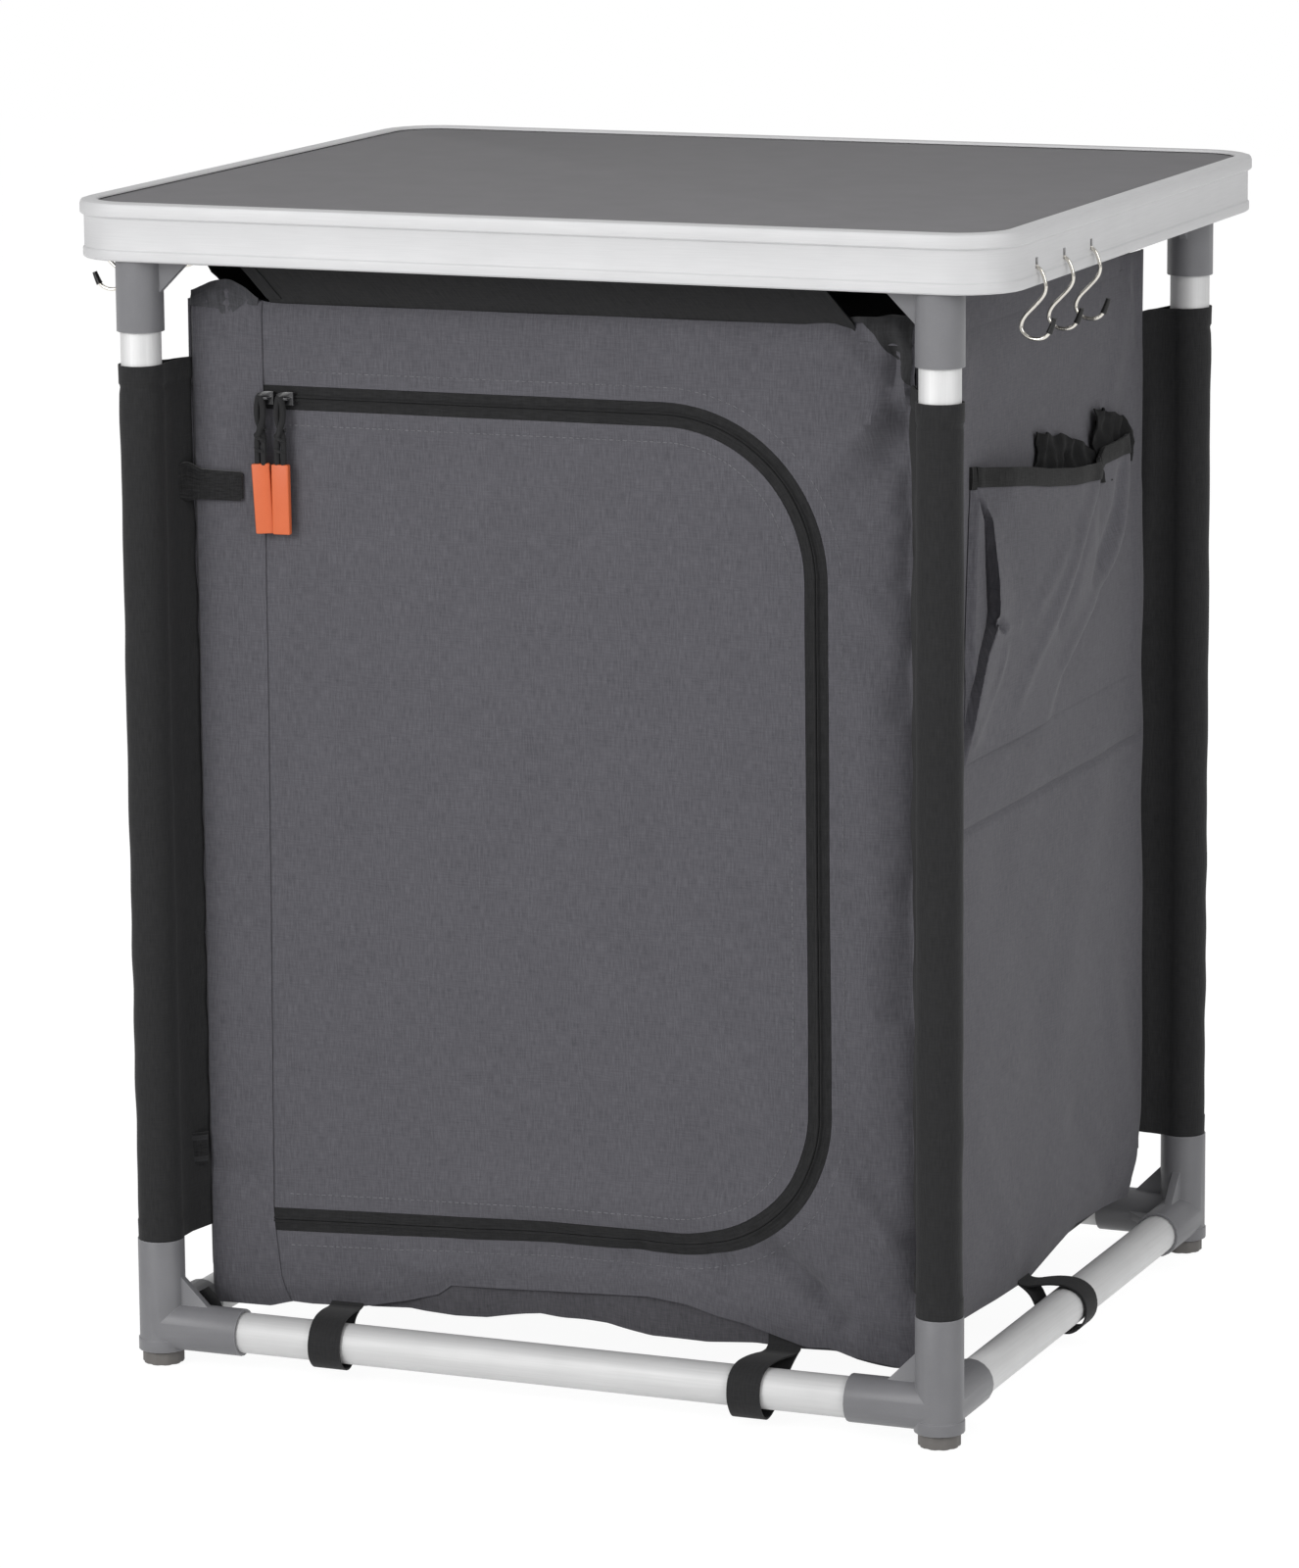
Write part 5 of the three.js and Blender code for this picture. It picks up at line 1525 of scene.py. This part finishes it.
def organiser_stand(y, z):
    """How far the sheet stands off the side, and how far its flank is drawn in under the fold."""
    low = smooth(ORG_LOW, ORG_LOW + 105, z)
    crown = np.interp(y, [-112, -70, -40, 0, 40, 75, 98, 112, 140, 165, 182, 190],
                      [10, 12.5, 15, 17, 17, 14.5, 9.5, 9.5, 10, 7, 3, 0.6]) * (0.2 + 0.8 * low)
    crest_y, crest_out = crest(z)
    past = y - crest_y
    edge = np.interp(z, [386, 564], [-133, -114.5])
    pleat = 0.8 + 4.4 * smooth(0, 4.5, y - edge) - 3.4 * smooth(-6, 0, past)
    face = crest_out + (np.maximum(crown, 2) - crest_out) * smooth(7, 42, past)
    limit = np.interp(z, [385, 411, 425, 446, 464, 484, 508, 532, 560],
                      [10, 30, 46, 76, 112, 143, 164, 172, 189])
    face = face * np.maximum(1 - smooth(limit - 4, limit + 24, y), 0.1)
    out = pleat + (face - pleat) * smooth(-1, 7, past)
    out = out + ridges(organiser_ridges, y, z) * smooth(4, 14, past) * (0.35 + 0.65 * low)
    drawn = np.interp(past, [-14, -1, 7, 40], [0, 7, -8.2, 0]) * np.clip(crest_out / 14, 0, 1)
    return np.maximum(out, 0.8), drawn


def organiser_place(u, v, extra=0.0):
    """Where a place of the sheet hangs; v is its share of the height up to the mouth."""
    low_z = np.interp(u, [-112, -60, 60, 190], [387, 387.5, 388.5, 387.5])
    z = low_z + (mouth_height(u) - low_z) * v
    y = u - (2.5 + (1 - v) * 18.5) * np.clip((-60 - u) / 50, 0, 1)
    out, drawn = organiser_stand(y, z)
    base = side_right_place(y + drawn, z)
    base[:, 0] += out + extra
    return base


across = np.concatenate([np.linspace(-112, -60, 44), np.linspace(-57, 92, 52), np.linspace(94, 190, 44)])
organiser = cloth("organiser_cloth", grid_cut(across, np.linspace(0, ORG_CUT, 74)),
                  lambda u, v: organiser_place(u, v / ORG_CUT), grey_cloth, "frame", ["organiser"], 1.0)
print("faces of the organiser:", len(organiser.data.polygons))

# %% [markdown]
# ## Bindings and lining
# Black bindings edge the mouths, and behind them the black lining stands up, painted darker
# than the other blacks as the shade inside the pouches. A binding is a narrow grid that follows
# the sheet just below the mouth, with a rounded face. The lining has a ragged outline, so it is
# cut like the door, and it crumples by uneven swells.

# %% Bindings and lining
def binding(name, y0, y1, width=12.0):
    lines = np.linspace(y0, y1, max(int((y1 - y0) / 2.2), 4))

    def place(u, v):
        share = 1.003 - (width - v) / ORG_CUT
        return organiser_place(u, share, 1.0 + 0.5 * np.sin(np.pi * v / width))

    cloth(name, grid_cut(lines, np.linspace(0, width, 6)), place, binding_cloth, "frame",
          thickness=2.6)


def mouth_lining(name, outline, lean):
    """The lining that stands up behind a binding, painted very dark as the shade inside the pouch."""
    low = min(z for _, z in outline)

    def place(y, z):
        crumple = 2.6 * unevenness(y, z, 21, 41) + 0.7 * unevenness(y, z, 9, 42)
        base = side_right_place(y, z)
        base[:, 0] += 3.6 + lean * bell(z, low, 16) + crumple
        return base

    cloth(name, fill_cut([outline], 2.6), place, lining_shade_cloth, "frame", thickness=0.9)


binding("binding_front", -106.5, 99.5)
binding("binding_pleat", -112.4, -108.4, 13.5)
binding("binding_back", 100.5, 189.5)
mouth_lining(
    "lining_front",
    [(-2, 532), (124, 522), (120, 534), (108, 542), (92, 549), (72, 555), (60, 555.5), (52, 560),
     (44, 562.5), (34, 561), (22, 566), (8, 566.5), (0, 569), (2, 556), (-1, 548)], 7)
mouth_lining(
    "lining_back",
    [(104, 530), (168, 528), (175, 541), (179, 548), (174, 551), (168, 557), (156, 556), (146, 562),
     (137, 563), (128, 567), (121, 565.5), (112, 568.5), (107, 566), (110, 560), (103, 555), (106, 545)], 5)

# %% [markdown]
# ## Hooks
# Six bright wire hooks hang in slots of the rim. Each follows one bent line, so a curve with a
# round section is the natural tool: it stays round in every bend, where a bent cylinder would
# be pinched. The curve becomes a mesh at the end, as every piece has to be one.

# %% Wire from a curve
WIRE_RADIUS, TIP_RADIUS, THIN_END = 1.15, 2.0, 0.75


def wire(name, points, radius, tip=False):
    """A round wire along a soft line; the end of a tip is thinner."""
    curve = bpy.data.curves.new(name, "CURVE")
    curve.dimensions = "3D"
    curve.bevel_depth = radius * MM
    curve.bevel_resolution = 4
    curve.use_fill_caps = True
    spline = curve.splines.new("NURBS")
    spline.points.add(len(points) - 1)
    thin = np.linspace(1, THIN_END if tip else 1, len(points))
    for point, spot, share in zip(spline.points, points, thin):
        point.co = (*[value * MM for value in spot], 1)
        point.radius = share
    spline.order_u = 3
    spline.use_endpoint_u = True
    spline.resolution_u = 6
    holder = bpy.data.objects.new(name, curve)
    bpy.context.scene.collection.objects.link(holder)
    only(holder)
    bpy.ops.object.convert(target="MESH")
    bpy.ops.object.shade_smooth_by_angle(angle=math.radians(50))
    return bpy.context.object


print("thickness of a hook's wire in mm:", 2 * WIRE_RADIUS)

# %% [markdown]
# ## Six hooks
# The line of a hook was read from the photographed ones, as places across and up. The dipped
# black tip is a short thicker wire at its end. The left hooks are drawn up a little, because
# only the tip of one shows past the leg in the picture.

# %% Hang the hooks
HOOK_LINE = [(290.2, 687.5), (289.6, 693.2), (292.4, 696.2), (296.8, 696.4), (300.2, 694.0), (302.4, 688.6),
             (303.2, 683.6), (301.6, 678.8), (295.8, 672.6), (289.6, 666.6), (287.3, 660.4), (290.4, 655.4),
             (296.6, 653.3), (302.6, 654.8), (305.8, 658.8), (307.4, 662.6)]
TIP_LINE = [(305.2, 657.6), (306.8, 661.2), (308.4, 666.2)]
HOOK_PLACES = (-190, -140.5, -91)
SLOT_Z = 688
HOOK_DRAW = {"left": (0.82, 0.8, 0.72), "right": (1, 1, 1)}


def drawn_up(line, sign, y, draw):
    """The line at this place, with what hangs under the slot drawn up towards it."""
    return [(sign * x, y, SLOT_Z + (z - SLOT_Z) * (draw if z < SLOT_Z else 1)) for x, z in line]


for side, sign in (("left", -1), ("right", 1)):
    for number, (y, draw) in enumerate(zip(HOOK_PLACES, HOOK_DRAW[side]), 1):
        body = f"hook_{side}_{number}"
        line = wire(f"{body}_wire", drawn_up(HOOK_LINE, sign, y, draw), WIRE_RADIUS)
        tip = wire(f"{body}_tip", drawn_up(TIP_LINE, sign, y, draw), TIP_RADIUS, True)
        line.data.materials.append(wire_metal)
        tip.data.materials.append(tip_plastic)
        for piece in (line, tip):
            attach(piece, body)
            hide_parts(body)
print("hooks:", 2 * len(HOOK_PLACES))

# %% [markdown]
# ## Grips
# Each zip slider is a small enamelled body with an arched bail, dressed from the CAD. A doubled
# cord goes through the bail and into a flat orange grip. The grip starts as a cube whose edges
# are bevelled, and it hangs turned a little about its upper end.

# %% Model a grip
GRIP = (11.3 * MM, 4.2 * MM, 42.6 * MM)
PULLS = {"left": {"shift": -4.4, "tilt": -3.3, "turn": 15},
         "right": {"shift": -3.7, "tilt": -0.5, "turn": 0}}


def add_grip(side, x, y, grip_low):
    middle = (x, y, grip_low + GRIP[2] / 2)
    bpy.ops.mesh.primitive_cube_add(size=1, location=middle, scale=GRIP)
    grip = bpy.context.object
    grip.name = f"grip_{side}"
    bpy.ops.object.transform_apply(location=True, rotation=True, scale=True)
    bpy.ops.object.mode_set(mode="EDIT")
    bpy.ops.mesh.select_all(action="SELECT")
    bpy.ops.mesh.bevel(offset=0.9 * MM, segments=3, affect="EDGES")
    bpy.ops.object.mode_set(mode="OBJECT")
    hang = Matrix.Translation((x, y, grip_low + GRIP[2]))
    tilt = Matrix.Rotation(math.radians(PULLS[side]["tilt"]), 4, "Y")
    turn = Matrix.Rotation(math.radians(PULLS[side]["turn"]), 4, "Z")
    grip.data.transform(hang @ tilt @ turn @ hang.inverted())
    bpy.ops.object.shade_smooth_by_angle(angle=math.radians(40))
    grip.data.materials.append(orange_plastic)
    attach(grip, f"pull_{side}")
    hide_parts(f"pull_{side}")


print("grip in mm:", [round(length / MM, 1) for length in GRIP])

# %% [markdown]
# ## Cords
# The cord's two strands spread and cross a little on their way down, and a thinner cord is wound
# twice round them above the grip. Each is a wire, like the hooks, in the boards' black cloth,
# whose weave needs no flat cut.

# %% Sliders and pulls
CORD_RADIUS, WINDING_RADIUS = 1.9, 0.9
CORD_STRAND = [(0.04, 0.3, 0), (0.12, 0.8, -0.3), (0.26, 1.0, 0), (0.4, 0.9, -0.9),
               (0.52, 0.1, -1.5), (0.64, -0.8, -0.8), (0.78, -1.0, 0), (1.02, -0.9, 0)]


def add_cords(side, x, y, top, drop):
    """Two strands and their winding, from the bail down to the grip, in mm."""
    lines = [([(x + 2.2 * way * aside, y + ahead * way, top - share * drop)
               for share, aside, ahead in CORD_STRAND], CORD_RADIUS) for way in (-1, 1)]
    winding = [(x + 3.4 * math.cos(a), y + 2.6 * math.sin(a), top - drop * (0.50 + 0.028 * a))
               for a in np.linspace(0, 4 * math.pi, 22)]
    for number, (line, radius) in enumerate(lines + [(winding, WINDING_RADIUS)], 1):
        cord = wire(f"pull_cord_{side}_{number}", line, radius)
        cord.data.materials.append(board_cloth)
        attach(cord, f"pull_{side}")
        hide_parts(f"pull_{side}")


for side in SIDES:
    slider = dress(f"slider_{side}", black_metal, f"slider_{side}", 0.35, 24)
    shift = PULLS[side]["shift"] * MM
    slider.data.transform(Matrix.Translation((shift, 0, 0)))
    low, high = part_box(f"pull_{side}")
    x, y = (low.x + high.x) / 2 + shift - 2.0 * MM, (low.y + high.y) / 2
    add_grip(side, x, y, low.z)
    drop = high.z - low.z - GRIP[2]
    add_cords(side, x / MM, y / MM, high.z / MM, drop / MM)
    print(side, "cord hangs down in mm:", round(drop / MM, 1))
